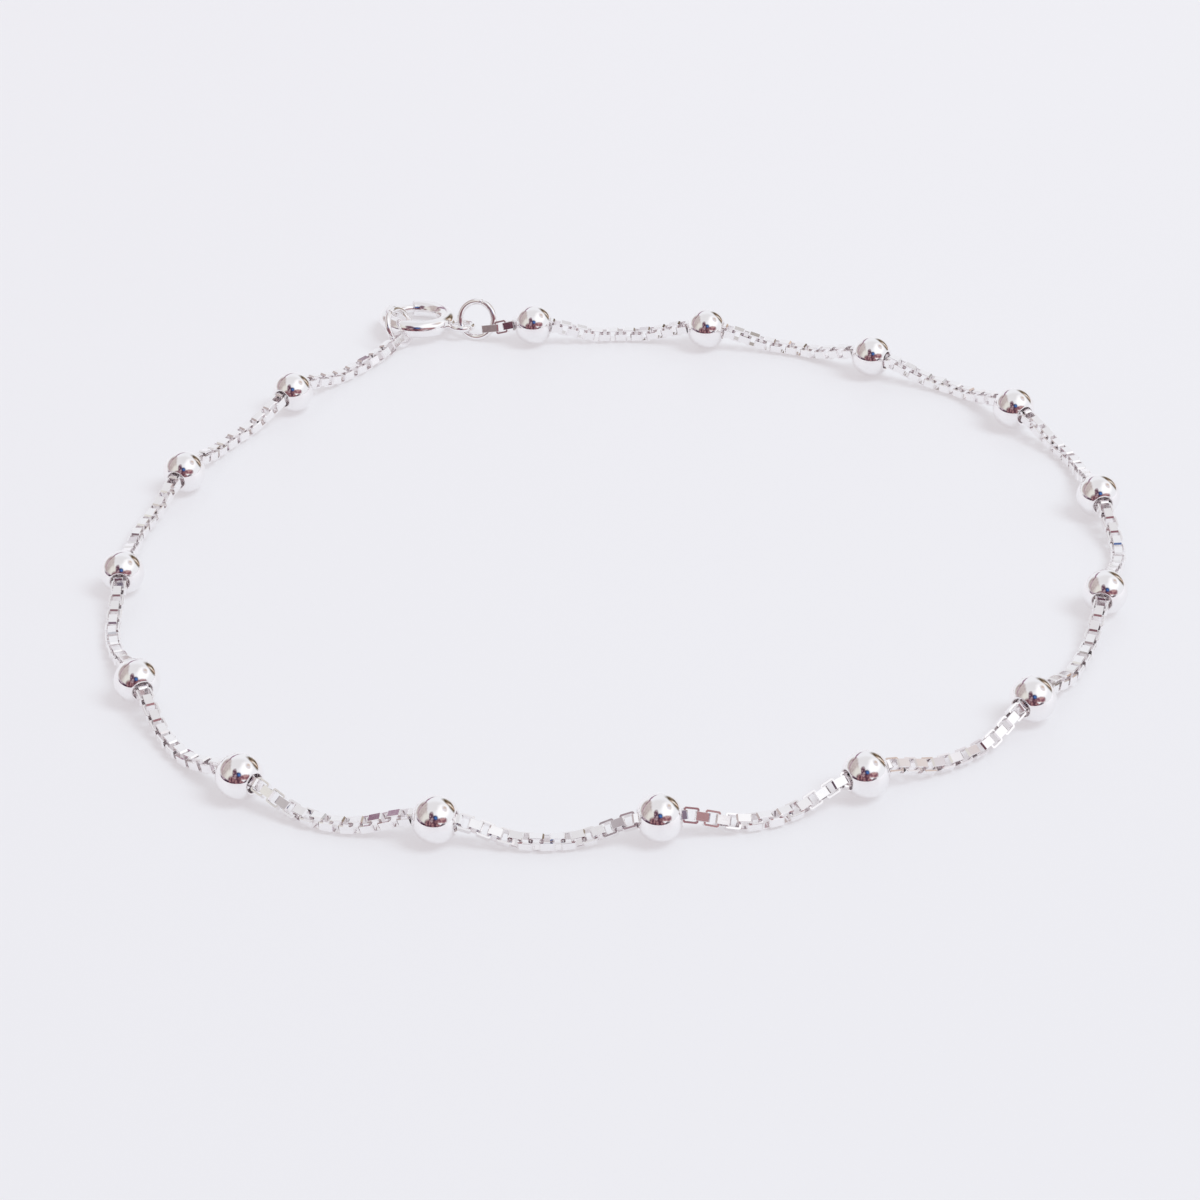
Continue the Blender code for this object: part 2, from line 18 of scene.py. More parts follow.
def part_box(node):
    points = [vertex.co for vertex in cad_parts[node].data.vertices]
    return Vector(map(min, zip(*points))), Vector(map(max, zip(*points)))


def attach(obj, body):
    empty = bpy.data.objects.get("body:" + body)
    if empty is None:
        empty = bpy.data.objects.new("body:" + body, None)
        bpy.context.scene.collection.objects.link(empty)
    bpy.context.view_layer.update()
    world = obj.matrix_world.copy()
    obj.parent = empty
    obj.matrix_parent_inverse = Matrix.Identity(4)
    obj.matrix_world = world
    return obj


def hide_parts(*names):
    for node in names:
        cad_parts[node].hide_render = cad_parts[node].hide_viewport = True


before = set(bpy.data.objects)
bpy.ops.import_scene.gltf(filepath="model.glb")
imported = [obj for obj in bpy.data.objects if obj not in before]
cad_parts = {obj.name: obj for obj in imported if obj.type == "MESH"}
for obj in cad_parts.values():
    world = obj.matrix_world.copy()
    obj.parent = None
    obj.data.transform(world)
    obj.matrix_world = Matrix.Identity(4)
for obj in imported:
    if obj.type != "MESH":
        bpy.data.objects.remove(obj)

LOG = logging.getLogger("bracelet")
WORLD_UP = Vector((0.0, 0.0, 1.0))
FLOAT = "NodeSocketFloat"
VECTOR = "NodeSocketVector"
COLOUR = "NodeSocketColor"
GEOMETRY = "NodeSocketGeometry"
HIDDEN = "hidden"

Colour = tuple[float, ...]
Triple = tuple[float, float, float]


class Body(Enum):
    """The moving bodies of the model."""

    ROOT = "root"
    BOLT = "bolt"


class Slot(Enum):
    """The material slots of the record."""

    BEAD = "bead_silver"
    CHAIN = "chain_silver"
    CLASP = "clasp_silver"


class Lie(Enum):
    """How a link of the chain lies in its own frame."""

    LEVEL = "level"
    UPRIGHT = "upright"


def heading(degrees: float) -> Vector:
    """The level direction at an angle from +X."""
    turn = math.radians(degrees)
    return Vector((math.cos(turn), math.sin(turn), 0.0))


def leaned_up(direction: Vector, roll_deg: float) -> Vector:
    """The upward normal of a direction, turned about it.

    Args:
        direction: The direction that the normal is square to.
        roll_deg: The turn about that direction.

    Returns:
        A unit vector.
    """
    along = direction.normalized()
    up = (WORLD_UP - along * WORLD_UP.dot(along)).normalized()
    return Matrix.Rotation(math.radians(roll_deg), 3, along) @ up


def direction_to(azimuth_deg: float, elevation_deg: float) -> Vector:
    """The unit vector at an azimuth from +X and an elevation over the floor."""
    elevation = math.radians(elevation_deg)
    return heading(azimuth_deg) * math.cos(elevation) + WORLD_UP * math.sin(elevation)


class NodeSheet:
    """Adds nodes to one tree and joins them as they are added."""

    def __init__(self, tree: bpy.types.NodeTree) -> None:
        """Start on an empty tree."""
        self.tree = tree
        self.tree.nodes.clear()

    def add(
        self, kind: str, inputs: dict[str | int, object] | None = None, **settings: object
    ) -> bpy.types.Node:
        """Add a node, set its options and fill its inputs.

        Args:
            kind: The node's type name.
            inputs: Values or output sockets, keyed by input name or number.
            settings: The node's own options.

        Returns:
            The new node.
        """
        node = self.tree.nodes.new(kind)
        for name, value in settings.items():
            setattr(node, name, value)
        for key, value in (inputs or {}).items():
            self.fill(node.inputs[key], value)
        return node

    def fill(self, socket: bpy.types.NodeSocket, value: object) -> None:
        """Join an output to an input, or set the input's value.

        Args:
            socket: The input.
            value: An output socket or a plain value.
        """
        if isinstance(value, bpy.types.NodeSocket):
            self.tree.links.new(value, socket)
        else:
            socket.default_value = value

    def maths(self, operation: str, *values: object) -> bpy.types.NodeSocket:
        """The result of a Math node."""
        return self.add("ShaderNodeMath", dict(enumerate(values)), operation=operation).outputs[0]

    def vectors(self, operation: str, first: object, second: object) -> bpy.types.NodeSocket:
        """The vector from a Vector Math node."""
        return self.add("ShaderNodeVectorMath", {0: first, 1: second}, operation=operation).outputs[0]

    def mix(self, share: object, first: object, second: object) -> bpy.types.NodeSocket:
        """The colour between two colours."""
        node = self.add("ShaderNodeMix", {0: share, 6: first, 7: second}, data_type="RGBA")
        return node.outputs[2]

    def noise(self, vector: object, scale: object, detail: float) -> bpy.types.NodeSocket:
        """The value of a noise texture."""
        inputs = {"Vector": vector, "Scale": scale, "Detail": detail}
        return self.add("ShaderNodeTexNoise", inputs).outputs[0]

    def ramp(self, value: object, low: object, high: object) -> bpy.types.NodeSocket:
        """A value from 0 at low to 1 at high, eased.

        Args:
            value: The value that is read.
            low: Where it starts to rise.
            high: Where it is full.

        Returns:
            The eased value's socket.
        """
        inputs = {"Value": value, "From Min": low, "From Max": high}
        node = self.add("ShaderNodeMapRange", inputs, interpolation_type="SMOOTHSTEP")
        return node.outputs[0]


def group_tree(
    name: str, kind: str, inputs: dict[str, str], outputs: dict[str, str]
) -> bpy.types.NodeTree:
    """A node group with named sockets.

    Args:
        name: The group's name.
        kind: The tree's type name.
        inputs: Socket types of the inputs, keyed by name.
        outputs: Socket types of the outputs, keyed by name.

    Returns:
        The empty group.
    """
    tree = bpy.data.node_groups.new(name, kind)
    for side, sockets in (("INPUT", inputs), ("OUTPUT", outputs)):
        for label, socket_type in sockets.items():
            tree.interface.new_socket(label, in_out=side, socket_type=socket_type)
    return tree


@dataclass
class SilverGroups:
    """The shader groups that every silver finish shares."""

    rub_directions: tuple[tuple[float, Triple], ...] = (
        (0.5, (1.0, 0.04, 0.3)),
        (-0.9, (0.05, 1.0, 0.4)),
    )
    rub_tip: float = 0.4
    rub_detail: float = 2.0
    rub_low: float = 0.6
    rub_high: float = 0.72
    broad_detail: float = 2.0
    broad_share: float = 0.65
    fine_detail: float = 4.0
    fine_scale: float = 4.7
    cloud_low: float = 0.3
    cloud_high: float = 0.7

    def __post_init__(self) -> None:
        """Build each group once."""
        self.scratches = self.fine_scratches()
        self.cloud = self.handling_cloud()
        self.tone = self.silver_tone()

    def fine_scratches(self) -> bpy.types.NodeTree:
        """Thin straight rubbing marks in two directions, as a height.

        Returns:
            The shader group.
        """
        sockets = {"Vector": VECTOR, "Scale": FLOAT, "Amount": FLOAT}
        tree = group_tree("fine_scratches", "ShaderNodeTree", sockets, {"Height": FLOAT})
        sheet = NodeSheet(tree)
        given = sheet.add("NodeGroupInput").outputs
        lines = []
        for turn, stretch in self.rub_directions:
            mapping = sheet.add(
                "ShaderNodeMapping",
                {"Vector": given["Vector"], "Rotation": (turn, self.rub_tip, turn), "Scale": stretch},
            )
            streaks = sheet.noise(mapping.outputs[0], given["Scale"], self.rub_detail)
            lines.append(sheet.ramp(streaks, self.rub_low, self.rub_high))
        both = sheet.maths("MAXIMUM", *lines)
        height = sheet.maths("MULTIPLY", both, given["Amount"])
        sheet.add("NodeGroupOutput", {"Height": sheet.maths("SUBTRACT", 1.0, height)})
        return tree

    def handling_cloud(self) -> bpy.types.NodeTree:
        """Soft patches left by touch and polish, at two sizes.

        Returns:
            The shader group.
        """
        tree = group_tree(
            "handling_cloud", "ShaderNodeTree", {"Vector": VECTOR, "Scale": FLOAT}, {"Cloud": FLOAT}
        )
        sheet = NodeSheet(tree)
        given = sheet.add("NodeGroupInput").outputs
        broad = sheet.noise(given["Vector"], given["Scale"], self.broad_detail)
        finer_scale = sheet.maths("MULTIPLY", given["Scale"], self.fine_scale)
        fine = sheet.noise(given["Vector"], finer_scale, self.fine_detail)
        broad_part = sheet.maths("MULTIPLY", broad, self.broad_share)
        both = sheet.maths("MULTIPLY_ADD", fine, 1.0 - self.broad_share, broad_part)
        sheet.add("NodeGroupOutput", {"Cloud": sheet.ramp(both, self.cloud_low, self.cloud_high)})
        return tree

    def silver_tone(self) -> bpy.types.NodeTree:
        """Clean silver, greyed by touch, and darkened where cloths don't reach: tarnish there, together
        with painted shade in the hollows.

        Returns:
            The shader group.
        """
        sockets = {
            "Clean": COLOUR,
            "Touched": COLOUR,
            "Patina And Shade": COLOUR,
            "Cloud": FLOAT,
            "Hidden": FLOAT,
            "Patina And Shade Amount": FLOAT,
        }
        tree = group_tree("silver_tone", "ShaderNodeTree", sockets, {"Color": COLOUR})
        sheet = NodeSheet(tree)
        given = sheet.add("NodeGroupInput").outputs
        worn = sheet.mix(given["Cloud"], given["Clean"], given["Touched"])
        # Painted shade and tarnish: the points marked hidden are mixed toward the dark warm colour.
        depth = sheet.maths("MULTIPLY", given["Hidden"], given["Patina And Shade Amount"])
        sheet.add("NodeGroupOutput", {"Color": sheet.mix(depth, worn, given["Patina And Shade"])})
        return tree


@dataclass(frozen=True)
class SilverFinish:
    """One silver surface: how clean, how polished and how rubbed it is."""

    name: str
    clean: Colour = (0.988, 0.98, 0.982, 1.0)
    touched: Colour = (0.96, 0.948, 0.952, 1.0)
    # A dark warm colour for the hollows: tarnish, and also painted shade where link insides and ball
    # bores are marked hidden.
    patina_and_shade: Colour = (0.66, 0.56, 0.58, 1.0)
    patina_and_shade_amount: float = 0.12
    roughness_low: float = 0.03
    roughness_high: float = 0.08
    cloud_scale: float = 900.0
    scratch_scale: float = 9000.0
    scratch_amount: float = 0.5
    ripple_scale: float = 700.0
    ripple_detail: float = 1.0
    ripple_depth: float = 4e-6
    scratch_depth: float = 4e-7

    def material(self, groups: SilverGroups) -> bpy.types.Material:
        """Build the material.

        Args:
            groups: The shared shader groups.

        Returns:
            A metallic material with a worn, polished surface.
        """
        material = bpy.data.materials.new(self.name)
        material.use_nodes = True
        sheet = NodeSheet(material.node_tree)
        place = sheet.add("ShaderNodeTexCoord").outputs["Object"]
        # The hidden mask marks hollows, which the tone darkens with tarnish and painted shade.
        hidden = sheet.add("ShaderNodeAttribute", attribute_name=HIDDEN).outputs["Fac"]
        cloud = sheet.add(
            "ShaderNodeGroup", {"Vector": place, "Scale": self.cloud_scale}, node_tree=groups.cloud
        )
        tone = sheet.add(
            "ShaderNodeGroup",
            {
                "Clean": self.clean,
                "Touched": self.touched,
                "Patina And Shade": self.patina_and_shade,
                "Cloud": cloud.outputs[0],
                "Hidden": hidden,
                "Patina And Shade Amount": self.patina_and_shade_amount,
            },
            node_tree=groups.tone,
        )
        marks = sheet.add(
            "ShaderNodeGroup",
            {"Vector": place, "Scale": self.scratch_scale, "Amount": self.scratch_amount},
            node_tree=groups.scratches,
        )
        spread = self.roughness_high - self.roughness_low
        roughness = sheet.maths("MULTIPLY_ADD", cloud.outputs[0], spread, self.roughness_low)
        ripple = sheet.noise(place, self.ripple_scale, self.ripple_detail)
        hammered = sheet.add("ShaderNodeBump", {"Height": ripple, "Distance": self.ripple_depth})
        rubbed = sheet.add(
            "ShaderNodeBump",
            {"Height": marks.outputs[0], "Distance": self.scratch_depth, "Normal": hammered.outputs[0]},
        )
        shader = sheet.add(
            "ShaderNodeBsdfPrincipled",
            {
                "Base Color": tone.outputs[0],
                "Metallic": 1.0,
                "Roughness": roughness,
                "Normal": rubbed.outputs[0],
            },
        )
        sheet.add("ShaderNodeOutputMaterial", {"Surface": shader.outputs[0]})
        return material


@dataclass(frozen=True)
class CameraRig:
    """The camera at the photograph's angle."""

    place: Triple = (-0.0010168, -0.1512785, 0.0927768)
    pitch_below_level_deg: float = 32.65
    roll_deg: float = -2.224
    lens_mm: float = 91.97
    sensor_mm: float = 36.0
    clip_near: float = 0.01
    clip_far: float = 20.0

    def build(self) -> bpy.types.Object:
        """Make the scene's camera.

        Returns:
            The camera object.
        """
        data = bpy.data.cameras.new("camera")
        data.lens = self.lens_mm
        data.sensor_width = self.sensor_mm
        data.clip_start = self.clip_near
        data.clip_end = self.clip_far
        camera = bpy.data.objects.new("camera", data)
        tip = Matrix.Rotation(math.radians(90.0 - self.pitch_below_level_deg), 4, "X")
        roll = Matrix.Rotation(math.radians(self.roll_deg), 4, "Z")
        camera.matrix_world = Matrix.Translation(self.place) @ tip @ roll
        bpy.context.scene.collection.objects.link(camera)
        bpy.context.scene.camera = camera
        return camera


@dataclass(frozen=True)
class RoomCard:
    """One card of the room that the polished metal mirrors, as a patch of the sky."""

    name: str
    azimuth_deg: float
    elevation_deg: float
    half_width_deg: float
    half_height_deg: float
    colour: Colour
    lean_deg: float = 0.0
    softness: float = 0.25
    fleck: Colour = ()


@dataclass
class Studio:
    """Pale floor, soft key light, and a white room with a few darker cards."""

    floor_half: float = 3.0
    floor_colour: Colour = (0.27, 0.315, 0.34, 1.0)
    floor_glow: Colour = (0.526, 0.486, 0.497, 1.0)
    room_colour: Colour = (0.86, 0.865, 0.90, 1.0)
    key_azimuth_deg: float = -19.0
    key_elevation_deg: float = 57.0
    key_distance: float = 1.2
    key_width: float = 0.5
    key_height: float = 0.7
    key_watts: float = 8.0
    mirror_bounces: int = 16
    board_mottle_scale: float = 35.0
    board_mottle_detail: float = 3.0
    board_mottle_share: float = 0.985
    board_roughness: float = 0.45
    board_gloss: float = 0.3
    card_squareness: float = 2.4
    card_least_depth: float = 0.001
    wobble: float = 0.16
    wobble_middle: Triple = (0.5, 0.5, 0.5)
    wobble_scale: float = 7.0
    wobble_detail: float = 4.0
    wobble_roughness: float = 0.62
    fleck_scale: float = 5.5
    fleck_detail: float = 4.0
    fleck_low: float = 0.4
    fleck_high: float = 0.66
    cards: list[RoomCard] = field(default_factory=lambda: [
        RoomCard("ceiling", 90.0, 80.0, 44.0, 27.0, (0.77, 0.76, 0.78), 0.0, 0.5),
        RoomCard(
            "warm_wall", 172.0, 33.0, 44.0, 26.0, (0.56, 0.49, 0.48), 0.0, 0.22, (0.42, 0.34, 0.34)
        ),
        RoomCard("warm_side", -142.0, 32.0, 20.0, 26.0, (0.76, 0.74, 0.70), 0.0, 0.6),
        RoomCard("key_glow", -14.0, 52.0, 33.0, 24.0, (1.08, 1.08, 1.1), 0.0, 0.5),
        RoomCard(
            "lavender_patch", 12.0, 49.0, 13.0, 11.0, (0.73, 0.7, 0.74), 0.0, 0.4, (0.66, 0.54, 0.48)
        ),
        RoomCard(
            "backdrop_edge", 110.0, 27.0, 19.0, 3.2, (0.34, 0.18, 0.28), 35.0, 0.5, (0.12, 0.05, 0.09)
        ),
        RoomCard(
            "backdrop_side", 150.0, 27.0, 24.0, 2.8, (0.42, 0.27, 0.36), -31.0, 0.5, (0.16, 0.06, 0.1)
        ),
        RoomCard(
            "dark_wedge", 47.0, 14.0, 25.0, 17.0, (0.10, 0.07, 0.04), 20.0, 0.3, (0.30, 0.23, 0.17)
        ),
        RoomCard("tan_strip", 43.0, 15.0, 5.0, 15.0, (0.68, 0.47, 0.36), -24.0, 0.5, (0.86, 0.8, 0.74)),
        RoomCard(
            "left_horizon", -150.0, 4.0, 36.0, 6.0, (0.10, 0.05, 0.09), 0.0, 0.4, (0.62, 0.5, 0.56)
        ),
        RoomCard("low_flag", -106.0, 3.0, 62.0, 8.0, (0.05, 0.02, 0.04), 4.0, 0.4, (0.22, 0.12, 0.17)),
        RoomCard("dark_flag", -99.0, 19.0, 40.0, 21.0, (0.10, 0.04, 0.06), 6.0, 0.3, (0.38, 0.2, 0.21)),
        RoomCard(
            "left_flag", -112.0, 46.0, 11.0, 24.0, (0.10, 0.045, 0.07), 14.0, 0.3, (0.42, 0.3, 0.33)
        ),
        RoomCard(
            "right_flag", -53.0, 23.0, 23.0, 13.0, (0.22, 0.09, 0.12), -14.0, 0.3, (0.5, 0.3, 0.3)
        ),
        RoomCard("pale_gap", -66.0, 13.0, 9.0, 4.0, (0.9, 0.88, 0.92), -20.0, 0.5),
        RoomCard("lens", -86.0, 44.0, 11.0, 11.0, (0.02, 0.025, 0.09), 0.0, 0.4),
        RoomCard("lens_glint", -83.0, 43.0, 5.5, 6.0, (0.07, 0.17, 0.46), 0.0, 0.8),
    ])

    def build(self) -> None:
        """Set the studio up."""
        self.lay_floor()
        self.hang_key()
        self.paint_room()
        scene = bpy.context.scene
        scene.view_settings.view_transform = "Standard"
        scene.cycles.max_bounces = self.mirror_bounces
        scene.cycles.glossy_bounces = self.mirror_bounces

    def lay_floor(self) -> None:
        """A wide matt floor at z = 0."""
        half = self.floor_half
        mesh = bpy.data.meshes.new("floor")
        corners = [(-half, -half, 0.0), (half, -half, 0.0), (half, half, 0.0), (-half, half, 0.0)]
        mesh.from_pydata(corners, [], [(0, 1, 2, 3)])
        floor = bpy.data.objects.new("floor", mesh)
        material = bpy.data.materials.new("pale_board")
        material.use_nodes = True
        sheet = NodeSheet(material.node_tree)
        place = sheet.add("ShaderNodeTexCoord").outputs["Object"]
        mottle = sheet.noise(place, self.board_mottle_scale, self.board_mottle_detail)
        greyer = tuple(value * self.board_mottle_share for value in self.floor_colour[:3]) + (1.0,)
        colour = sheet.mix(mottle, greyer, self.floor_colour)
        shader = sheet.add(
            "ShaderNodeBsdfPrincipled",
            {
                "Base Color": colour,
                "Roughness": self.board_roughness,
                "Specular IOR Level": self.board_gloss,
                "Emission Color": self.floor_glow,
                "Emission Strength": 1.0,
            },
        )
        sheet.add("ShaderNodeOutputMaterial", {"Surface": shader.outputs[0]})
        mesh.materials.append(material)
        bpy.context.scene.collection.objects.link(floor)

    def hang_key(self) -> None:
        """The large soft light from the upper right."""
        data = bpy.data.lights.new("key_softbox", "AREA")
        data.shape = "ELLIPSE"
        data.size = self.key_width
        data.size_y = self.key_height
        data.energy = self.key_watts
        light = bpy.data.objects.new("key_softbox", data)
        away = direction_to(self.key_azimuth_deg, self.key_elevation_deg)
        light.location = away * self.key_distance
        light.rotation_euler = away.to_track_quat("Z", "Y").to_euler()
        light.visible_glossy = False
        bpy.context.scene.collection.objects.link(light)

    def card_group(self) -> bpy.types.NodeTree:
        """A group that lays one soft-edged card over a colour of the room.

        Returns:
            The shader group.
        """
        sockets = {
            "Color": COLOUR,
            "Card": COLOUR,
            "Direction": VECTOR,
            "Axis": VECTOR,
            "Right": VECTOR,
            "Up": VECTOR,
            "Half Width": FLOAT,
            "Half Height": FLOAT,
            "Softness": FLOAT,
            "Fleck": COLOUR,
            "Fleck Share": FLOAT,
        }
        tree = group_tree("room_card", "ShaderNodeTree", sockets, {"Color": COLOUR})
        sheet = NodeSheet(tree)
        given = sheet.add("NodeGroupInput").outputs
        dots = {}
        for label in ("Axis", "Right", "Up"):
            node = sheet.add(
                "ShaderNodeVectorMath", {0: given["Direction"], 1: given[label]}, operation="DOT_PRODUCT"
            )
            dots[label] = node.outputs["Value"]
        depth = sheet.maths("MAXIMUM", dots["Axis"], self.card_least_depth)
        squares = []
        for label, size in (("Right", "Half Width"), ("Up", "Half Height")):
            offset = sheet.maths("DIVIDE", sheet.maths("DIVIDE", dots[label], depth), given[size])
            squares.append(sheet.maths("POWER", sheet.maths("ABSOLUTE", offset), self.card_squareness))
        distance = sheet.maths("POWER", sheet.maths("ADD", *squares), 1.0 / self.card_squareness)
        inner = sheet.maths("SUBTRACT", 1.0, given["Softness"])
        outer = sheet.maths("ADD", 1.0, given["Softness"])
        cover = sheet.maths("SUBTRACT", 1.0, sheet.ramp(distance, inner, outer))
        flecked = sheet.mix(given["Fleck Share"], given["Card"], given["Fleck"])
        sheet.add("NodeGroupOutput", {"Color": sheet.mix(cover, given["Color"], flecked)})
        return tree

    def paint_room(self) -> None:
        """The world: a white room with its cards."""
        world = bpy.data.worlds.new("white_room")
        bpy.context.scene.world = world
        world.use_nodes = True
        # The room is pale nearly all round, so it needs no map of its bright spots.
        world.cycles.sampling_method = "NONE"
        sheet = NodeSheet(world.node_tree)
        straight = sheet.add("ShaderNodeTexCoord").outputs["Generated"]
        ragged = sheet.add(
            "ShaderNodeTexNoise",
            {
                "Vector": straight,
                "Scale": self.wobble_scale,
                "Detail": self.wobble_detail,
                "Roughness": self.wobble_roughness,
            },
        ).outputs["Color"]
        mottle = sheet.noise(straight, self.fleck_scale, self.fleck_detail)
        flecks = sheet.ramp(mottle, self.fleck_low, self.fleck_high)
        centred = sheet.vectors("SUBTRACT", ragged, self.wobble_middle)
        shift = sheet.add("ShaderNodeVectorMath", {0: centred, "Scale": self.wobble}, operation="SCALE")
        direction = sheet.vectors("ADD", straight, shift.outputs[0])
        group = self.card_group()
        colour: object = self.room_colour
        for card in self.cards:
            axis = direction_to(card.azimuth_deg, card.elevation_deg)
            up = leaned_up(axis, card.lean_deg)
            laid = sheet.add(
                "ShaderNodeGroup",
                {
                    "Color": colour,
                    "Card": (*card.colour, 1.0),
                    "Direction": direction,
                    "Axis": axis,
                    "Right": axis.cross(up),
                    "Up": up,
                    "Half Width": math.tan(math.radians(card.half_width_deg)),
                    "Half Height": math.tan(math.radians(card.half_height_deg)),
                    "Softness": card.softness,
                    "Fleck": (*(card.fleck or card.colour), 1.0),
                    "Fleck Share": flecks,
                },
                node_tree=group,
                label=card.name,
            )
            colour = laid.outputs[0]
        background = sheet.add("ShaderNodeBackground", {"Color": colour, "Strength": 1.0})
        sheet.add("ShaderNodeOutputWorld", {"Surface": background.outputs[0]})


def place_piece(name: str, mesh: bpy.types.Mesh, finish: bpy.types.Material | None) -> bpy.types.Object:
    """Put a mesh in the scene as an object at the origin.

    Args:
        name: The object's name.
        mesh: A mesh whose points are already in their place.
        finish: The material, or None for a cutter.

    Returns:
        The new object.
    """
    piece = bpy.data.objects.new(name, mesh)
    if finish is not None:
        mesh.materials.clear()
        mesh.materials.append(finish)
    bpy.context.scene.collection.objects.link(piece)
    return piece


def hand_over(piece: bpy.types.Object, body: Body, slot: Slot, *nodes: str) -> None:
    """Fix a finished piece to its body and let it stand for nodes of the model.

    Args:
        piece: The finished piece.
        body: The body that it moves with.
        slot: The record's slot for the piece; not used.
        nodes: The nodes that it replaces.
    """
    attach(piece, body.value)
    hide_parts(*nodes)
    triangles = sum(len(face.vertices) - 2 for face in piece.data.polygons)
    LOG.info("%s: %d triangles for %s", piece.name, triangles, ", ".join(nodes))


def stitched(
    rings: Sequence[Sequence[Vector]], closed: bool, name: str, smooth_deg: float = 40.0
) -> bpy.types.Mesh:
    """A closed mesh through rings of points that follow one another.

    Args:
        rings: Rings with as many points each.
        closed: Whether the last ring joins the first; otherwise both ends are capped.
        name: The mesh's name.
        smooth_deg: The angle below which edges are shaded smooth.

    Returns:
        A mesh whose faces point outwards.
    """
    body = bmesh.new()
    grid = [[body.verts.new(point) for point in ring] for ring in rings]
    sides = len(grid[0])
    for index in range(len(grid) if closed else len(grid) - 1):
        ring, after = grid[index], grid[(index + 1) % len(grid)]
        for side in range(sides):
            turned = (side + 1) % sides
            body.faces.new((ring[side], ring[turned], after[turned], after[side]))
    if not closed:
        body.faces.new(list(reversed(grid[0])))
        body.faces.new(grid[-1])
    bmesh.ops.recalc_face_normals(body, faces=body.faces)
    mesh = bpy.data.meshes.new(name)
    body.to_mesh(mesh)
    body.free()
    mesh.shade_smooth()
    mesh.set_sharp_from_angle(angle=math.radians(smooth_deg))
    return mesh


@dataclass(frozen=True)
class BeadStop:
    """A bead on the route, with the chain's roll on either side of it and its bulge after it."""

    node: str
    roll_before_deg: float = 0.0
    roll_after_deg: float = 0.0
    bulge_after: float = 0.0003
    run_roll_after_deg: float = 0.0

    @property
    def centre(self) -> Vector:
        """The bead's centre, from the model's own node."""
        low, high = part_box(self.node)
        return (Vector(low) + Vector(high)) / 2

    @property
    def diameter(self) -> float:
        """The bead's diameter, from the model's own node."""
        low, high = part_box(self.node)
        return high[2] - low[2]


@dataclass(frozen=True)
class JumpRing:
    """A wire ring that leans on the surface, with a fine cut where it was closed."""

    node: str
    centre: Vector
    along: Vector
    upward: Vector
    wire: float
    inside: float
    cut_width: float = 0.00003
    cut_turn_deg: float = 78.0
    steps: int = 72
    wire_sides: int = 16
    rim: float = 0.00003
    smooth_below_deg: float = 50.0

    @property
    def radius(self) -> float:
        """Radius of the wire's middle line."""
        return (self.inside + self.wire) / 2

    def wire_at(self, height: float) -> Vector:
        """The point on the wire, on the chain's side, at a height over the surface.

        Args:
            height: The height over the surface.

        Returns:
            The point.
        """
        drop = (height - self.centre.z) / self.upward.z
        reach = math.sqrt(self.radius ** 2 - drop ** 2)
        return self.centre + self.along * reach + self.upward * drop

    def ring_points(self, turn: float, half_wire: float) -> list[Vector]:
        """Points round the wire at a turn round the ring.

        Args:
            turn: The angle round the ring, in radians.
            half_wire: Half the wire's thickness there.

        Returns:
            The points in order.
        """
        out = self.along * math.cos(turn) + self.upward * math.sin(turn)
        across = self.along.cross(self.upward)
        points = []
        for side in range(self.wire_sides):
            angle = 2 * math.pi * side / self.wire_sides
            offset = out * math.cos(angle) + across * math.sin(angle)
            points.append(self.centre + out * self.radius + offset * half_wire)
        return points

    def mesh(self) -> bpy.types.Mesh:
        """The ring's wire from one side of its cut round to the other.

        Returns:
            A closed mesh in its place.
        """
        half_cut = self.cut_width / 2 / self.radius
        rim_turn = self.rim / self.radius
        first = math.radians(self.cut_turn_deg) + half_cut
        last = first + 2 * math.pi - 2 * half_cut
        half = self.wire / 2
        rings = [self.ring_points(first, half - self.rim)]
        for step in range(self.steps + 1):
            turn = first + rim_turn + (last - first - 2 * rim_turn) * step / self.steps
            rings.append(self.ring_points(turn, half))
        rings.append(self.ring_points(last, half - self.rim))
        return stitched(rings, False, self.node + "_wire", self.smooth_below_deg)

    def build(self, name: str, finish: bpy.types.Material) -> None:
        """Make the ring and fix it to the clasp's body.

        Args:
            name: The piece's name.
            finish: The clasp's material.
        """
        hand_over(place_piece(name, self.mesh(), finish), Body.ROOT, Slot.CLASP, self.node)


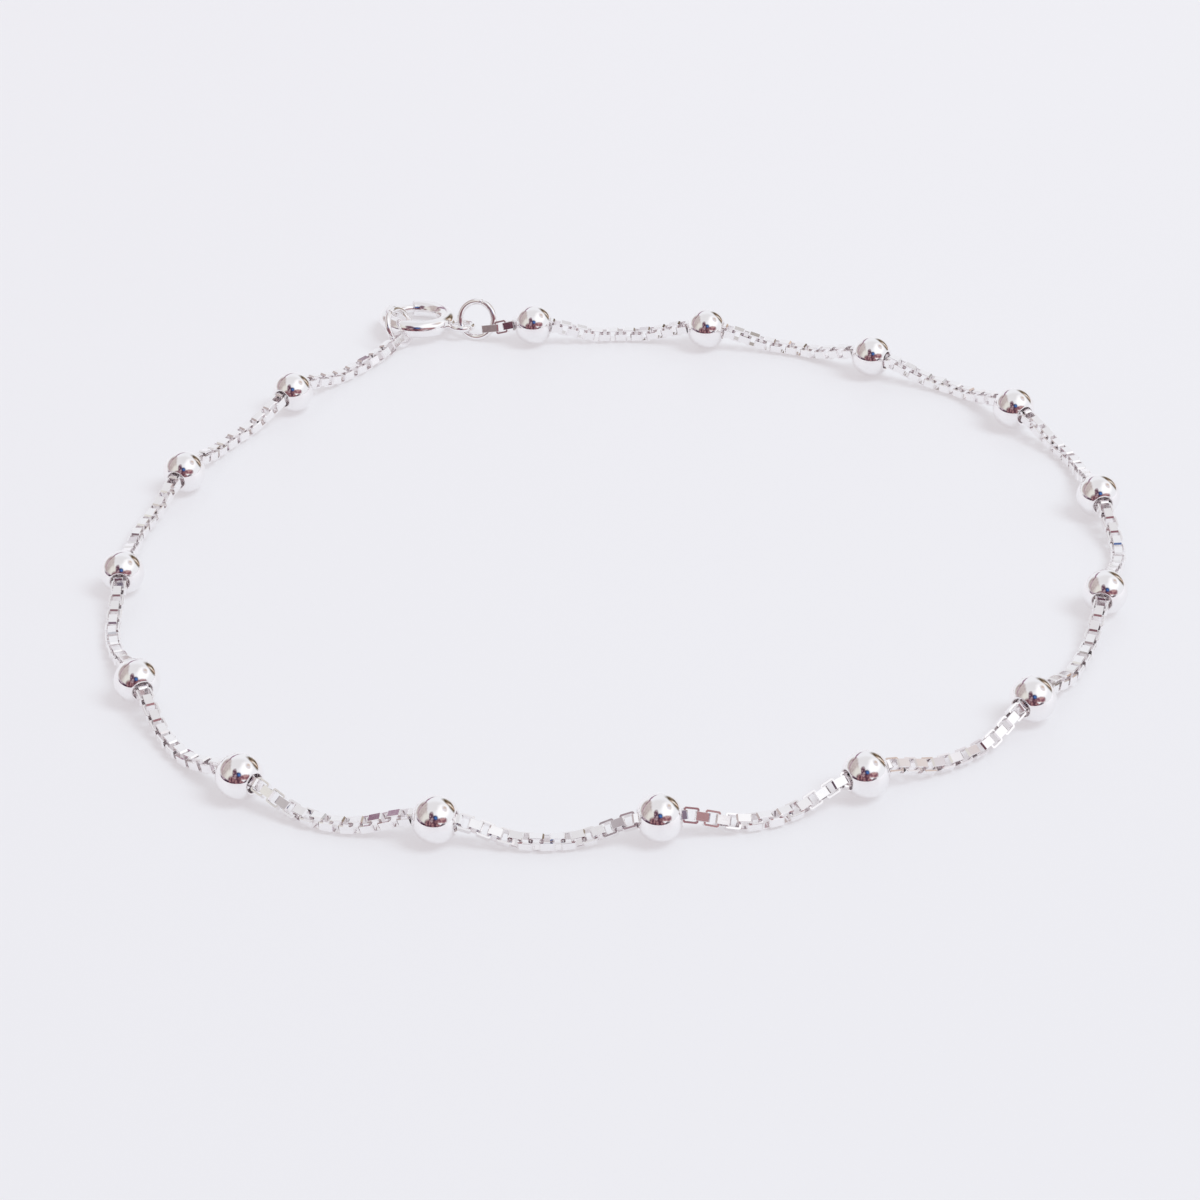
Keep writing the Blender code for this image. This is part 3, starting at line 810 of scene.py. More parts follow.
@dataclass
class ClaspSizes:
    """Sizes of the spring-ring clasp and its jump rings, with angles from the clasp's eye."""

    outside: float = 0.005
    tube: float = 0.0011
    wall: float = 0.00018
    x: float = -0.0122
    y: float = 0.027
    eye_heading_deg: float = -20.0
    hook_heading_deg: float = 242.0
    eye_wire: float = 0.0004
    eye_inside: float = 0.001
    eye_sink: float = 0.00012
    gap_start_deg: float = 120.0
    gap_length: float = 0.0016
    socket_depth: float = 0.0003
    bolt_clearance: float = 0.00006
    bolt_tail_length: float = 0.0008
    bolt_travel_spare_deg: float = 2.0
    knob_width: float = 0.0005
    knob_thickness: float = 0.0004
    knob_height: float = 0.00045
    knob_bridge: float = 0.0004
    slot_clearance: float = 0.00007
    hook_inward: float = 0.0002
    hook_below: float = 0.00015
    jump_wire: float = 0.0004
    jump_inside: float = 0.0019
    jump_lean_deg: float = 25.0

    @property
    def radius(self) -> float:
        """Radius of the tube's middle line."""
        return (self.outside - self.tube) / 2

    @property
    def jump_radius(self) -> float:
        """Radius of a jump ring's middle line."""
        return (self.jump_inside + self.jump_wire) / 2

    @property
    def jump_height(self) -> float:
        """Height at which a leaning jump ring just stands on the surface."""
        return self.jump_radius * math.cos(math.radians(self.jump_lean_deg)) + self.jump_wire / 2

    @property
    def hook_height(self) -> float:
        """Height of the tube where the left jump ring holds it."""
        return self.jump_height - self.hook_below * math.cos(math.radians(self.jump_lean_deg))

    @property
    def eye_offset(self) -> float:
        """Distance of the eye's centre from the clasp's."""
        return self.radius + self.tube / 2 - self.eye_sink + (self.eye_inside + self.eye_wire) / 2

    @property
    def place(self) -> Matrix:
        """The clasp's own frame: X to its eye, Z its axis, raised where the jump ring holds it.

        Returns:
            The frame's matrix.
        """
        rise = (self.hook_height - self.tube / 2) / 2
        tilt = math.asin(rise / self.radius)
        tilt_axis = heading(self.hook_heading_deg).cross(WORLD_UP)
        centre = Vector((self.x, self.y, self.tube / 2 + rise))
        lean = Matrix.Rotation(tilt, 4, tilt_axis)
        turn = Matrix.Rotation(math.radians(self.eye_heading_deg), 4, "Z")
        return Matrix.Translation(centre) @ lean @ turn

    def degrees(self, length: float) -> float:
        """The angle at the tube's middle line that spans a length."""
        return math.degrees(length / self.radius)

    @property
    def gap_finish_deg(self) -> float:
        """Where the tube starts again after its gap."""
        return self.gap_start_deg + self.degrees(self.gap_length)

    @property
    def bolt_tip_deg(self) -> float:
        """The closed bolt's tip, inside the socket."""
        return self.gap_finish_deg + self.degrees(self.socket_depth - self.bolt_clearance)

    @property
    def travel_deg(self) -> float:
        """How far the bolt slides back."""
        return self.bolt_tip_deg - self.gap_start_deg + self.bolt_travel_spare_deg

    @property
    def knob_deg(self) -> float:
        """The middle of the knob when the bolt is closed."""
        back = self.knob_bridge + self.slot_clearance + self.knob_width / 2
        return self.gap_start_deg - self.degrees(back)

    @property
    def bolt_tail_deg(self) -> float:
        """The bolt's inner end when it is closed."""
        return self.knob_deg - self.degrees(self.bolt_tail_length)

    def left_ring(self) -> JumpRing:
        """The jump ring round the tube, which holds the chain's left end.

        Returns:
            The ring.
        """
        along = heading(self.hook_heading_deg)
        upward = leaned_up(along, self.jump_lean_deg)
        tube = Vector((self.x, self.y, 0.0)) + along * self.radius
        tube.z = self.hook_height
        centre = tube + along * self.hook_inward + upward * self.hook_below
        return JumpRing("jump_ring_left", centre, along, upward, self.jump_wire, self.jump_inside)

    def right_ring(self) -> JumpRing:
        """The jump ring through the clasp's eye, which holds the chain's right end.

        Returns:
            The ring.
        """
        eye = self.place @ Vector((self.eye_offset, 0.0, 0.0))
        along = heading(self.eye_heading_deg)
        upward = leaned_up(-along, self.jump_lean_deg)
        drop = (eye.z - self.jump_height) / upward.z
        reach = math.sqrt(self.jump_radius ** 2 - drop ** 2)
        centre = eye + along * reach - upward * drop
        return JumpRing("jump_ring_right", centre, along, upward, self.jump_wire, self.jump_inside)


@dataclass
class SpringRingClasp:
    """The clasp: a hollow C of tube with a slot, its soldered eye, and the sprung bolt."""

    sizes: ClaspSizes
    tube_sides: int = 40
    step_deg: float = 2.5
    rim: float = 0.00005
    bolt_rim: float = 0.0001
    rim_steps: int = 4
    edge_bevel: float = 0.000018
    bevel_above_deg: float = 50.0
    smooth_below_deg: float = 38.0
    eye_steps: int = 48
    eye_sides: int = 18
    knob_root: float = 0.00005
    knob_flare: float = 1.12
    knob_crown: float = 0.00008
    knob_crown_shrink: float = 0.35
    knob_crown_steps: int = 5
    knob_corner: float = 0.00012
    knob_corner_steps: int = 6
    slot_end_steps: int = 6
    slot_side_steps: int = 24
    slot_least_share: float = 0.05

    def tube_ring(self, degrees: float, half: float) -> list[Vector]:
        """Points round the tube at an angle round the clasp.

        Args:
            degrees: The angle from the clasp's eye.
            half: Half the tube's thickness there.

        Returns:
            The points in order.
        """
        out = heading(degrees)
        points = []
        for side in range(self.tube_sides):
            angle = 2 * math.pi * (side + 0.5) / self.tube_sides
            offset = out * math.cos(angle) + WORLD_UP * math.sin(angle)
            points.append(self.sizes.place @ (out * self.sizes.radius + offset * half))
        return points

    def bent_rod(
        self, name: str, start_deg: float, finish_deg: float, half: float, rim: float
    ) -> bpy.types.Mesh:
        """A round rod bent along the clasp's ring, with rounded ends.

        Args:
            name: The mesh's name.
            start_deg: The angle of one end.
            finish_deg: The angle of the other end.
            half: Half its diameter.
            rim: The radius of its end rims, 0 for square ends.

        Returns:
            A closed mesh in its place.
        """
        rim_deg = self.sizes.degrees(rim)
        start_cap = []
        for step in range(self.rim_steps if rim else 0):
            angle = math.pi / 2 * step / self.rim_steps
            reached = start_deg + rim_deg * (1.0 - math.cos(angle))
            start_cap.append((reached, half - rim + rim * math.sin(angle)))
        first, last = start_deg + rim_deg, finish_deg - rim_deg
        count = max(2, math.ceil((last - first) / self.step_deg))
        middle = [(first + (last - first) * step / count, half) for step in range(count + 1)]
        ends = start_deg + finish_deg
        finish_cap = [(ends - degrees, radius) for degrees, radius in reversed(start_cap)]
        outline = start_cap + middle + finish_cap
        rings = [self.tube_ring(degrees, radius) for degrees, radius in outline]
        return stitched(rings, False, name)

    def upright_block(
        self, name: str, middle_deg: float, half_length: float, half_height: float,
        corner: float, levels: Sequence[tuple[float, float]],
    ) -> bpy.types.Mesh:
        """A block with rounded corners that stands out from the tube's middle line.

        Args:
            name: The mesh's name.
            middle_deg: The angle of its middle.
            half_length: Half its length along the ring.
            half_height: Half its height along the clasp's axis.
            corner: The radius of its corners.
            levels: Pairs of a distance from the middle line and a share of the outline's size.

        Returns:
            A closed mesh in its place.
        """
        outline = []
        for quarter, (side_length, side_height) in enumerate(((1, 1), (-1, 1), (-1, -1), (1, -1))):
            for step in range(self.knob_corner_steps + 1):
                angle = math.pi / 2 * (quarter + step / self.knob_corner_steps)
                outline.append((
                    side_length * (half_length - corner) + corner * math.cos(angle),
                    side_height * (half_height - corner) + corner * math.sin(angle),
                ))
        rings = []
        for distance, share in levels:
            ring = []
            for along, height in outline:
                out = heading(middle_deg + self.sizes.degrees(along * share))
                point = out * (self.sizes.radius + distance) + WORLD_UP * height * share
                ring.append(self.sizes.place @ point)
            rings.append(ring)
        return stitched(rings, False, name)

    def eye_mesh(self) -> bpy.types.Mesh:
        """The small wire ring soldered to the tube.

        Returns:
            A closed mesh in its place.
        """
        middle = (self.sizes.eye_inside + self.sizes.eye_wire) / 2
        half = self.sizes.eye_wire / 2
        centre = Vector((self.sizes.eye_offset, 0.0, 0.0))
        rings = []
        for step in range(self.eye_steps):
            out = heading(360.0 * step / self.eye_steps)
            ring = []
            for side in range(self.eye_sides):
                angle = 2 * math.pi * side / self.eye_sides
                offset = out * math.cos(angle) + WORLD_UP * math.sin(angle)
                ring.append(self.sizes.place @ (centre + out * middle + offset * half))
            rings.append(ring)
        return stitched(rings, True, "eye")

    def carve(self, target: bpy.types.Object, mesh: bpy.types.Mesh, operation: str) -> None:
        """Cut or join a mesh and apply it at once.

        Args:
            target: The object that changes.
            mesh: The tool's mesh.
            operation: The Boolean's operation.
        """
        tool = place_piece(mesh.name, mesh, None)
        modifier = target.modifiers.new("carve", "BOOLEAN")
        modifier.object = tool
        modifier.operation = operation
        modifier.solver = "EXACT"
        self.settle(target)
        bpy.data.objects.remove(tool, do_unlink=True)

    def settle(self, target: bpy.types.Object) -> None:
        """Apply every modifier of an object to its mesh.

        Args:
            target: The object.
        """
        graph = bpy.context.evaluated_depsgraph_get()
        mesh = bpy.data.meshes.new_from_object(target.evaluated_get(graph), depsgraph=graph)
        target.modifiers.clear()
        target.data = mesh

    def soften(self, target: bpy.types.Object, width: float) -> None:
        """Round the sharp edges of an object a little.

        Args:
            target: The object.
            width: How far the rounding reaches.
        """
        bevel = target.modifiers.new("soft_edges", "BEVEL")
        bevel.width = width
        bevel.segments = 2
        bevel.limit_method = "ANGLE"
        bevel.angle_limit = math.radians(self.bevel_above_deg)
        self.settle(target)
        target.data.shade_smooth()
        target.data.set_sharp_from_angle(angle=math.radians(self.smooth_below_deg))

    def build_ring(self, finish: bpy.types.Material) -> None:
        """The C of tube, bored, slotted and with its eye soldered on.

        Args:
            finish: The clasp's material.
        """
        sizes = self.sizes
        half = sizes.tube / 2
        bore = half - sizes.wall
        past = sizes.degrees(sizes.wall)
        body_mesh = self.bent_rod(
            "clasp_tube", sizes.gap_finish_deg, sizes.gap_start_deg + 360.0, half, self.rim
        )
        ring = place_piece("spring_ring", body_mesh, finish)
        self.carve(ring, self.eye_mesh(), "UNION")
        bore_start = sizes.bolt_tail_deg - sizes.travel_deg - sizes.degrees(sizes.bolt_clearance)
        drill = self.bent_rod("bore", bore_start, sizes.gap_start_deg + past, bore, 0.0)
        self.carve(ring, drill, "DIFFERENCE")
        socket_end = sizes.gap_finish_deg + sizes.degrees(sizes.socket_depth)
        socket = self.bent_rod("socket", sizes.gap_finish_deg - past, socket_end, bore, 0.0)
        self.carve(ring, socket, "DIFFERENCE")
        half_knob = sizes.knob_width / 2 + sizes.slot_clearance
        half_travel = math.radians(sizes.travel_deg) * sizes.radius / 2
        slot_height = sizes.knob_thickness / 2 + sizes.slot_clearance
        slot_mesh = self.slot_cutter(half_travel + half_knob, slot_height)
        self.carve(ring, slot_mesh, "DIFFERENCE")
        self.soften(ring, self.edge_bevel)
        hand_over(ring, Body.ROOT, Slot.CLASP, "clasp_ring")

    def slot_cutter(self, half_length: float, half_height: float) -> bpy.types.Mesh:
        """The slot's cutter: a bent bar with rounded ends, out through the tube's wall.

        Args:
            half_length: Half the slot's length along the ring.
            half_height: Half its height.

        Returns:
            A closed mesh in its place.
        """
        sizes = self.sizes
        middle = sizes.knob_deg - sizes.travel_deg / 2
        near_end = []
        for step in range(self.slot_end_steps + 1):
            angle = math.pi / 2 * step / self.slot_end_steps
            near_end.append((-half_length + half_height * (1.0 - math.cos(angle)), math.sin(angle)))
        first = -half_length + half_height
        count = self.slot_side_steps
        sides = [(first - 2 * first * step / count, 1.0) for step in range(1, count)]
        far_end = [(-along, share) for along, share in reversed(near_end)]
        past_wall = sizes.radius + sizes.tube / 2 + sizes.wall
        rings = []
        for along, share in near_end + sides + far_end:
            out = heading(middle + sizes.degrees(along))
            height = half_height * max(share, self.slot_least_share)
            ring = []
            for distance, up in (
                (sizes.radius, -1), (past_wall, -1), (past_wall, 1), (sizes.radius, 1)
            ):
                ring.append(sizes.place @ (out * distance + WORLD_UP * height * up))
            rings.append(ring)
        return stitched(rings, False, "slot")

    def build_bolt(self, finish: bpy.types.Material) -> None:
        """The curved bolt with its thumb knob.

        Args:
            finish: The clasp's material.
        """
        sizes = self.sizes
        half = sizes.tube / 2 - sizes.wall - sizes.bolt_clearance
        rod = self.bent_rod("bolt_rod", sizes.bolt_tail_deg, sizes.bolt_tip_deg, half, self.bolt_rim)
        bolt = place_piece("sprung_bolt", rod, finish)
        top = sizes.tube / 2 + sizes.knob_height
        neck = sizes.tube / 2 + sizes.slot_clearance
        crown, flare = self.knob_crown, self.knob_flare
        levels = [(self.knob_root, 1.0), (neck, 1.0), (neck + crown, flare), (top - crown, flare)]
        for step in range(1, self.knob_crown_steps):
            angle = math.pi / 2 * step / self.knob_crown_steps
            share = flare - self.knob_crown_shrink * (1.0 - math.cos(angle))
            levels.append((top - crown + crown * math.sin(angle), share))
        knob = self.upright_block(
            "knob",
            sizes.knob_deg,
            sizes.knob_width / 2,
            sizes.knob_thickness / 2,
            self.knob_corner,
            levels,
        )
        self.carve(bolt, knob, "UNION")
        self.soften(bolt, self.edge_bevel)
        hand_over(bolt, Body.BOLT, Slot.CLASP, "clasp_bolt")

    def build(self, finish: bpy.types.Material) -> None:
        """Make the clasp and its two jump rings.

        Args:
            finish: The clasp's material.
        """
        self.build_ring(finish)
        self.build_bolt(finish)
        self.sizes.left_ring().build("wire_ring_left", finish)
        self.sizes.right_ring().build("wire_ring_right", finish)


@dataclass(frozen=True)
class Station:
    """One frame on the chain's middle line."""

    point: Vector
    forward: Vector
    upward: Vector

    @property
    def sideways(self) -> Vector:
        """The third direction of the frame."""
        return self.forward.cross(self.upward)


@dataclass(frozen=True)
class ChainSizes:
    """Sizes of the box chain's links and of the way it hangs between beads."""

    pitch: float = 0.00054
    link_width: float = 0.00084
    strip_width: float = 0.00046
    strip_thickness: float = 0.00012
    sag_length: float = 0.0034
    sag_start_slope: float = 0.8
    mouth_gap: float = 0.00002
    end_pitch: float = 0.00092
    end_height: float = 0.00078
    roll_ease_length: float = 0.0038
    roll_ease_power: int = 3
    samples: int = 120

    def rolled_half_height(self, roll_deg: float) -> float:
        """Height of the middle line where the chain lies on the surface with a roll.

        Args:
            roll_deg: The chain's roll.

        Returns:
            The height.
        """
        roll = abs(math.radians(roll_deg))
        return self.link_width / 2 * math.cos(roll) + self.strip_width / 2 * math.sin(roll)


@dataclass
class Stretch:
    """One visible stretch of chain, from where it leaves one thing to where it meets the next."""

    sizes: ChainSizes
    start: Vector
    start_direction: Vector
    finish: Vector
    finish_direction: Vector
    start_roll_deg: float
    finish_roll_deg: float
    run_roll_deg: float
    bulge: float
    long_first: bool = False
    long_last: bool = False
    line: list[Vector] = field(default_factory=list)
    lengths: list[float] = field(default_factory=list)

    def __post_init__(self) -> None:
        """Draw the middle line once."""
        samples = self.sizes.samples
        self.line = [self.point_at(index / samples) for index in range(samples + 1)]
        self.lengths = [0.0]
        for before, after in zip(self.line, self.line[1:]):
            self.lengths.append(self.lengths[-1] + (after - before).length)

    @property
    def chord(self) -> float:
        """Level distance from end to end."""
        return (self.finish - self.start).to_2d().length

    @property
    def length(self) -> float:
        """Length of the middle line."""
        return self.lengths[-1]

    def fall(self, distance: float) -> float:
        """Share of an end's height that is left at a distance from it.

        Args:
            distance: The level distance from that end.

        Returns:
            The share, from 1 down to 0.
        """
        share = min(distance / min(self.sizes.sag_length, self.chord), 1.0)
        return (1.0 - share) ** 2 * (1.0 + (2.0 - self.sizes.sag_start_slope) * share)

    def point_at(self, share: float) -> Vector:
        """The middle line's point at a share of the stretch.

        Args:
            share: 0 at its start and 1 at its finish.

        Returns:
            The point.
        """
        chord = self.chord
        two, three = share * share, share * share * share
        point = (
            self.start * (2 * three - 3 * two + 1)
            + self.start_direction * chord * (three - 2 * two + share)
            + self.finish * (3 * two - 2 * three)
            + self.finish_direction * chord * (three - two)
        )
        outward = (self.finish - self.start).cross(WORLD_UP).normalized()
        point += outward * self.bulge * math.sin(math.pi * share) ** 2
        low = self.sizes.link_width / 2
        if chord < 2 * self.sizes.sag_length:
            low = min(self.start.z, self.finish.z)
        point.z = (
            low
            + (self.start.z - low) * self.fall(share * chord)
            + (self.finish.z - low) * self.fall((1.0 - share) * chord)
        )
        return point

    def roll_at(self, target: float) -> float:
        """Roll of the chain at a length from the start.

        Args:
            target: The length from the start.

        Returns:
            The roll in degrees.
        """
        ease, power = self.sizes.roll_ease_length, self.sizes.roll_ease_power
        near_start = 1.0 - min(target / ease, 1.0) ** power
        near_finish = 1.0 - min((self.length - target) / ease, 1.0) ** power
        start_turn = (self.start_roll_deg - self.run_roll_deg) * near_start
        finish_turn = (self.finish_roll_deg - self.run_roll_deg) * near_finish
        return self.run_roll_deg + start_turn + finish_turn

    def station(self, target: float) -> Station:
        """The frame at a length along the middle line.

        Args:
            target: The length from the start.

        Returns:
            The point with its two directions.
        """
        index = 0
        while index < self.sizes.samples - 1 and self.lengths[index + 1] < target:
            index += 1
        part = (target - self.lengths[index]) / (self.lengths[index + 1] - self.lengths[index])
        point = self.line[index].lerp(self.line[index + 1], part)
        forward = (self.line[index + 1] - self.line[index]).normalized()
        roll = self.roll_at(target)
        dip = abs(forward.z) * (self.sizes.pitch / 2 + self.sizes.strip_thickness)
        point.z = max(point.z, self.sizes.rolled_half_height(roll) + dip)
        return Station(point, forward, leaned_up(forward, roll))


@dataclass(frozen=True)
class LinkSeat:
    """Where one link of the chain lies."""

    station: Station
    pitch: float
    lie: Lie
    is_long: bool

    @property
    def across(self) -> Vector:
        """The direction across the link's square loop."""
        return self.station.sideways if self.lie is Lie.LEVEL else self.station.upward


@dataclass
class BoxChain:
    """The whole run of interlocking links, from jump ring to jump ring through every bead."""

    sizes: ChainSizes
    stops: list[BeadStop]
    left_ring: JumpRing
    right_ring: JumpRing
    bead_bore: float
    split_stop: int = 7
    links_in_hole: int = 4
    ring_roll_deg: float = 25.0
    play: float = 0.000012
    fold_radius: float = 0.00005
    chamfer: float = 0.000009
    # Share of the loop's size within which the strip counts as hidden, where the finish paints shade and
    # tarnish.
    hidden_reach: float = 0.495
    turn_jitter_deg: float = 1.6
    lean_jitter_deg: float = 0.8
    seed: int = 11
    shared_sockets: tuple[str, ...] = (
        "Link Width", "Strip Width", "Strip Thickness", "Play", "Fold Radius", "Chamfer"
    )

    def direction(self, index: int) -> Vector:
        """The level direction of a bead's hole, along the loop.

        Args:
            index: The bead's place in the stops.

        Returns:
            A unit vector.
        """
        before = self.stops[index - 1].centre if index > 0 else self.left_wire
        last = len(self.stops) - 1
        after = self.stops[index + 1].centre if index < last else self.right_wire
        along = after - before
        along.z = 0.0
        return along.normalized()

    @property
    def left_wire(self) -> Vector:
        """The left jump ring's wire inside the chain's first link."""
        return self.left_ring.wire_at(self.sizes.end_height)

    @property
    def right_wire(self) -> Vector:
        """The right jump ring's wire inside the chain's last link."""
        return self.right_ring.wire_at(self.sizes.end_height)

    def mouth(self, index: int) -> float:
        """Distance from a bead's centre to where its outer chain starts.

        Args:
            index: The bead's place in the stops.

        Returns:
            The distance.
        """
        radius = self.stops[index].diameter / 2
        half_length = math.sqrt(radius ** 2 - (self.bead_bore / 2) ** 2)
        return half_length + self.sizes.mouth_gap + self.sizes.strip_thickness

    def stretch_before(self, index: int) -> Stretch:
        """The stretch that arrives at a bead; past the last bead, the one to the clasp.

        Args:
            index: The bead's place in the stops.

        Returns:
            The stretch.
        """
        sizes = self.sizes
        wire_room = (sizes.end_pitch - sizes.strip_thickness) / 2
        if index == 0:
            leave = self.left_ring.along
            start = self.left_wire - leave * wire_room
            start_roll, run_roll, bulge = self.ring_roll_deg, 0.0, 0.0
        else:
            leave = self.direction(index - 1)
            start = self.stops[index - 1].centre + leave * self.mouth(index - 1)
            start_roll = self.stops[index - 1].roll_after_deg
            run_roll = self.stops[index - 1].run_roll_after_deg
            bulge = self.stops[index - 1].bulge_after
        if index == len(self.stops):
            arrive = -self.right_ring.along
            finish = self.right_wire + arrive * wire_room
            finish_roll, bulge = self.ring_roll_deg, 0.0
        else:
            arrive = self.direction(index)
            finish = self.stops[index].centre - arrive * self.mouth(index)
            finish_roll = self.stops[index].roll_before_deg
        return Stretch(
            sizes, start, leave, finish, arrive, start_roll, finish_roll, run_roll, bulge,
            index == 0, index == len(self.stops),
        )

    def stretch_links(self, stretch: Stretch) -> list[LinkSeat]:
        """The links along one stretch, the end one longer where a jump ring passes through it.

        Args:
            stretch: The stretch.

        Returns:
            The seats of its links, in order.
        """
        spare = self.sizes.end_pitch - self.sizes.pitch
        plain = stretch.length - spare * (int(stretch.long_first) + int(stretch.long_last))
        count = max(2, round(plain / self.sizes.pitch))
        if count % 2 == 0 and (stretch.long_first or stretch.long_last):
            count += 1
        pitches = [plain / count] * count
        if stretch.long_first:
            pitches[0] += spare
        if stretch.long_last:
            pitches[-1] += spare
        seats = []
        reached = 0.0
        for index, pitch in enumerate(pitches):
            from_level_end = count - 1 - index if stretch.long_last else index
            lie = Lie.LEVEL if from_level_end % 2 == 0 else Lie.UPRIGHT
            station = stretch.station(reached + pitch / 2)
            is_long = (index == 0 and stretch.long_first) or (index == count - 1 and stretch.long_last)
            seats.append(LinkSeat(station, pitch, lie, is_long))
            reached += pitch
        return seats

    def bead_links(self, index: int, last_lie: Lie) -> list[LinkSeat]:
        """The links inside a bead's hole, in turn with those outside it.

        Args:
            index: The bead's place in the stops.
            last_lie: How the link before the hole lies.

        Returns:
            The seats of the hidden links, in order.
        """
        span = 2 * self.mouth(index)
        starts_upright = last_lie is Lie.LEVEL
        count = self.links_in_hole + int(starts_upright)
        pitch = span / count
        along = self.direction(index)
        stop = self.stops[index]
        seats = []
        for place in range(count):
            share = (place + 0.5) / count
            roll = stop.roll_before_deg * (1.0 - share) + stop.roll_after_deg * share
            point = stop.centre + along * span * (share - 0.5)
            lie = Lie.UPRIGHT if (place % 2 == 0) == starts_upright else Lie.LEVEL
            seats.append(LinkSeat(Station(point, along, leaned_up(along, roll)), pitch, lie, False))
        return seats

    def runs(self) -> dict[str, list[LinkSeat]]:
        """Every link, under the node that it belongs to.

        Returns:
            Lists of seats, keyed by node.
        """
        found = {"chain_left": [], "chain_right": []}
        for index in range(len(self.stops) + 1):
            node = "chain_left" if index <= self.split_stop else "chain_right"
            outside = self.stretch_links(self.stretch_before(index))
            found[node] += outside
            if index < len(self.stops):
                inside = self.bead_links(index, outside[-1].lie)
                half = len(inside) // 2
                if index == self.split_stop:
                    found["chain_left"] += inside[:half]
                    found["chain_right"] += inside[half:]
                else:
                    found[node] += inside
        return found

    def loop_group(self) -> bpy.types.NodeTree:
        """A group that folds one square link out of flat strip.

        Returns:
            The geometry group.
        """
        sockets = {"Pitch": FLOAT} | dict.fromkeys(self.shared_sockets, FLOAT)
        tree = group_tree("strip_loop", "GeometryNodeTree", sockets, {"Link": GEOMETRY})
        sheet = NodeSheet(tree)
        given = sheet.add("NodeGroupInput").outputs
        play = sheet.maths("MULTIPLY", given["Play"], 2.0)
        length = sheet.maths("ADD", sheet.maths("ADD", given["Pitch"], given["Strip Thickness"]), play)
        width = sheet.maths("SUBTRACT", given["Link Width"], given["Strip Thickness"])
        path = sheet.add("GeometryNodeCurvePrimitiveQuadrilateral", {"Width": length, "Height": width})
        folded = self.fillet(sheet, path.outputs[0], given["Fold Radius"])
        section = sheet.add(
            "GeometryNodeCurvePrimitiveQuadrilateral",
            {"Width": given["Strip Thickness"], "Height": given["Strip Width"]},
        )
        rounded = self.fillet(sheet, section.outputs[0], given["Chamfer"])
        strip = sheet.add("GeometryNodeCurveToMesh", {"Curve": folded, "Profile Curve": rounded})
        flat = sheet.add(
            "GeometryNodeSetShadeSmooth", {"Geometry": strip.outputs[0], "Shade Smooth": False}
        )
        # Points inside the loop are marked hidden, for the finish's tarnish and painted shade there.
        place = sheet.add("ShaderNodeSeparateXYZ", {0: sheet.add("GeometryNodeInputPosition").outputs[0]})
        inside = []
        for axis, size in ((0, length), (1, width)):
            reach = sheet.maths("MULTIPLY", size, self.hidden_reach)
            inside.append(sheet.maths("LESS_THAN", sheet.maths("ABSOLUTE", place.outputs[axis]), reach))
        hidden = sheet.maths("MULTIPLY", *inside)
        stored = sheet.add(
            "GeometryNodeStoreNamedAttribute",
            {"Geometry": flat.outputs[0], "Name": HIDDEN, "Value": hidden},
            data_type="FLOAT",
            domain="POINT",
        )
        sheet.add("NodeGroupOutput", {"Link": stored.outputs[0]})
        return tree

    def fillet(self, sheet: NodeSheet, curve: object, radius: object) -> bpy.types.NodeSocket:
        """Cut the corners of a curve.

        Args:
            sheet: The tree's sheet.
            curve: The curve's socket.
            radius: How far back a corner is cut.

        Returns:
            The cut curve's socket.
        """
        inputs = {"Curve": curve, "Radius": radius, "Count": 1}
        return sheet.add("GeometryNodeFilletCurve", inputs, mode="POLY").outputs[0]

    def chain_tree(self) -> bpy.types.NodeTree:
        """The tree that hangs a link on every seat of a run.

        Returns:
            The geometry tree.
        """
        sockets = {
            "Seats": GEOMETRY,
            "Link Pitch": FLOAT,
            "End Pitch": FLOAT,
            **dict.fromkeys(self.shared_sockets, FLOAT),
            "Turn Jitter": FLOAT,
            "Lean Jitter": FLOAT,
            "Seed": "NodeSocketInt",
            "Finish": "NodeSocketMaterial",
        }
        tree = group_tree("box_chain", "GeometryNodeTree", sockets, {"Chain": GEOMETRY})
        sheet = NodeSheet(tree)
        given = sheet.add("NodeGroupInput").outputs
        loop = self.loop_group()
        turn = self.seat_turn(sheet, given)
        is_long = self.named(sheet, "is_long", "BOOLEAN")
        joined = sheet.add("GeometryNodeJoinGeometry")
        for long_link, pitch in ((False, given["Link Pitch"]), (True, given["End Pitch"])):
            shared = {label: given[label] for label in self.shared_sockets}
            link = sheet.add("GeometryNodeGroup", {"Pitch": pitch} | shared, node_tree=loop)
            chosen = is_long
            if not long_link:
                chosen = sheet.add("FunctionNodeBooleanMath", {0: is_long}, operation="NOT").outputs[0]
            share = sheet.maths("DIVIDE", self.named(sheet, "pitch", "FLOAT"), pitch)
            stretch = sheet.add("ShaderNodeCombineXYZ", {0: share, 1: 1.0, 2: 1.0})
            hung = sheet.add(
                "GeometryNodeInstanceOnPoints",
                {
                    "Points": given["Seats"],
                    "Selection": chosen,
                    "Instance": link.outputs[0],
                    "Rotation": turn,
                    "Scale": stretch.outputs[0],
                },
            )
            sheet.tree.links.new(hung.outputs[0], joined.inputs[0])
        real = sheet.add("GeometryNodeRealizeInstances", {0: joined.outputs[0]})
        done = sheet.add(
            "GeometryNodeSetMaterial", {"Geometry": real.outputs[0], "Material": given["Finish"]}
        )
        sheet.add("NodeGroupOutput", {"Chain": done.outputs[0]})
        return tree

    def named(self, sheet: NodeSheet, name: str, kind: str) -> bpy.types.NodeSocket:
        """The value of a named attribute."""
        node = sheet.add("GeometryNodeInputNamedAttribute", {"Name": name}, data_type=kind)
        return node.outputs[0]

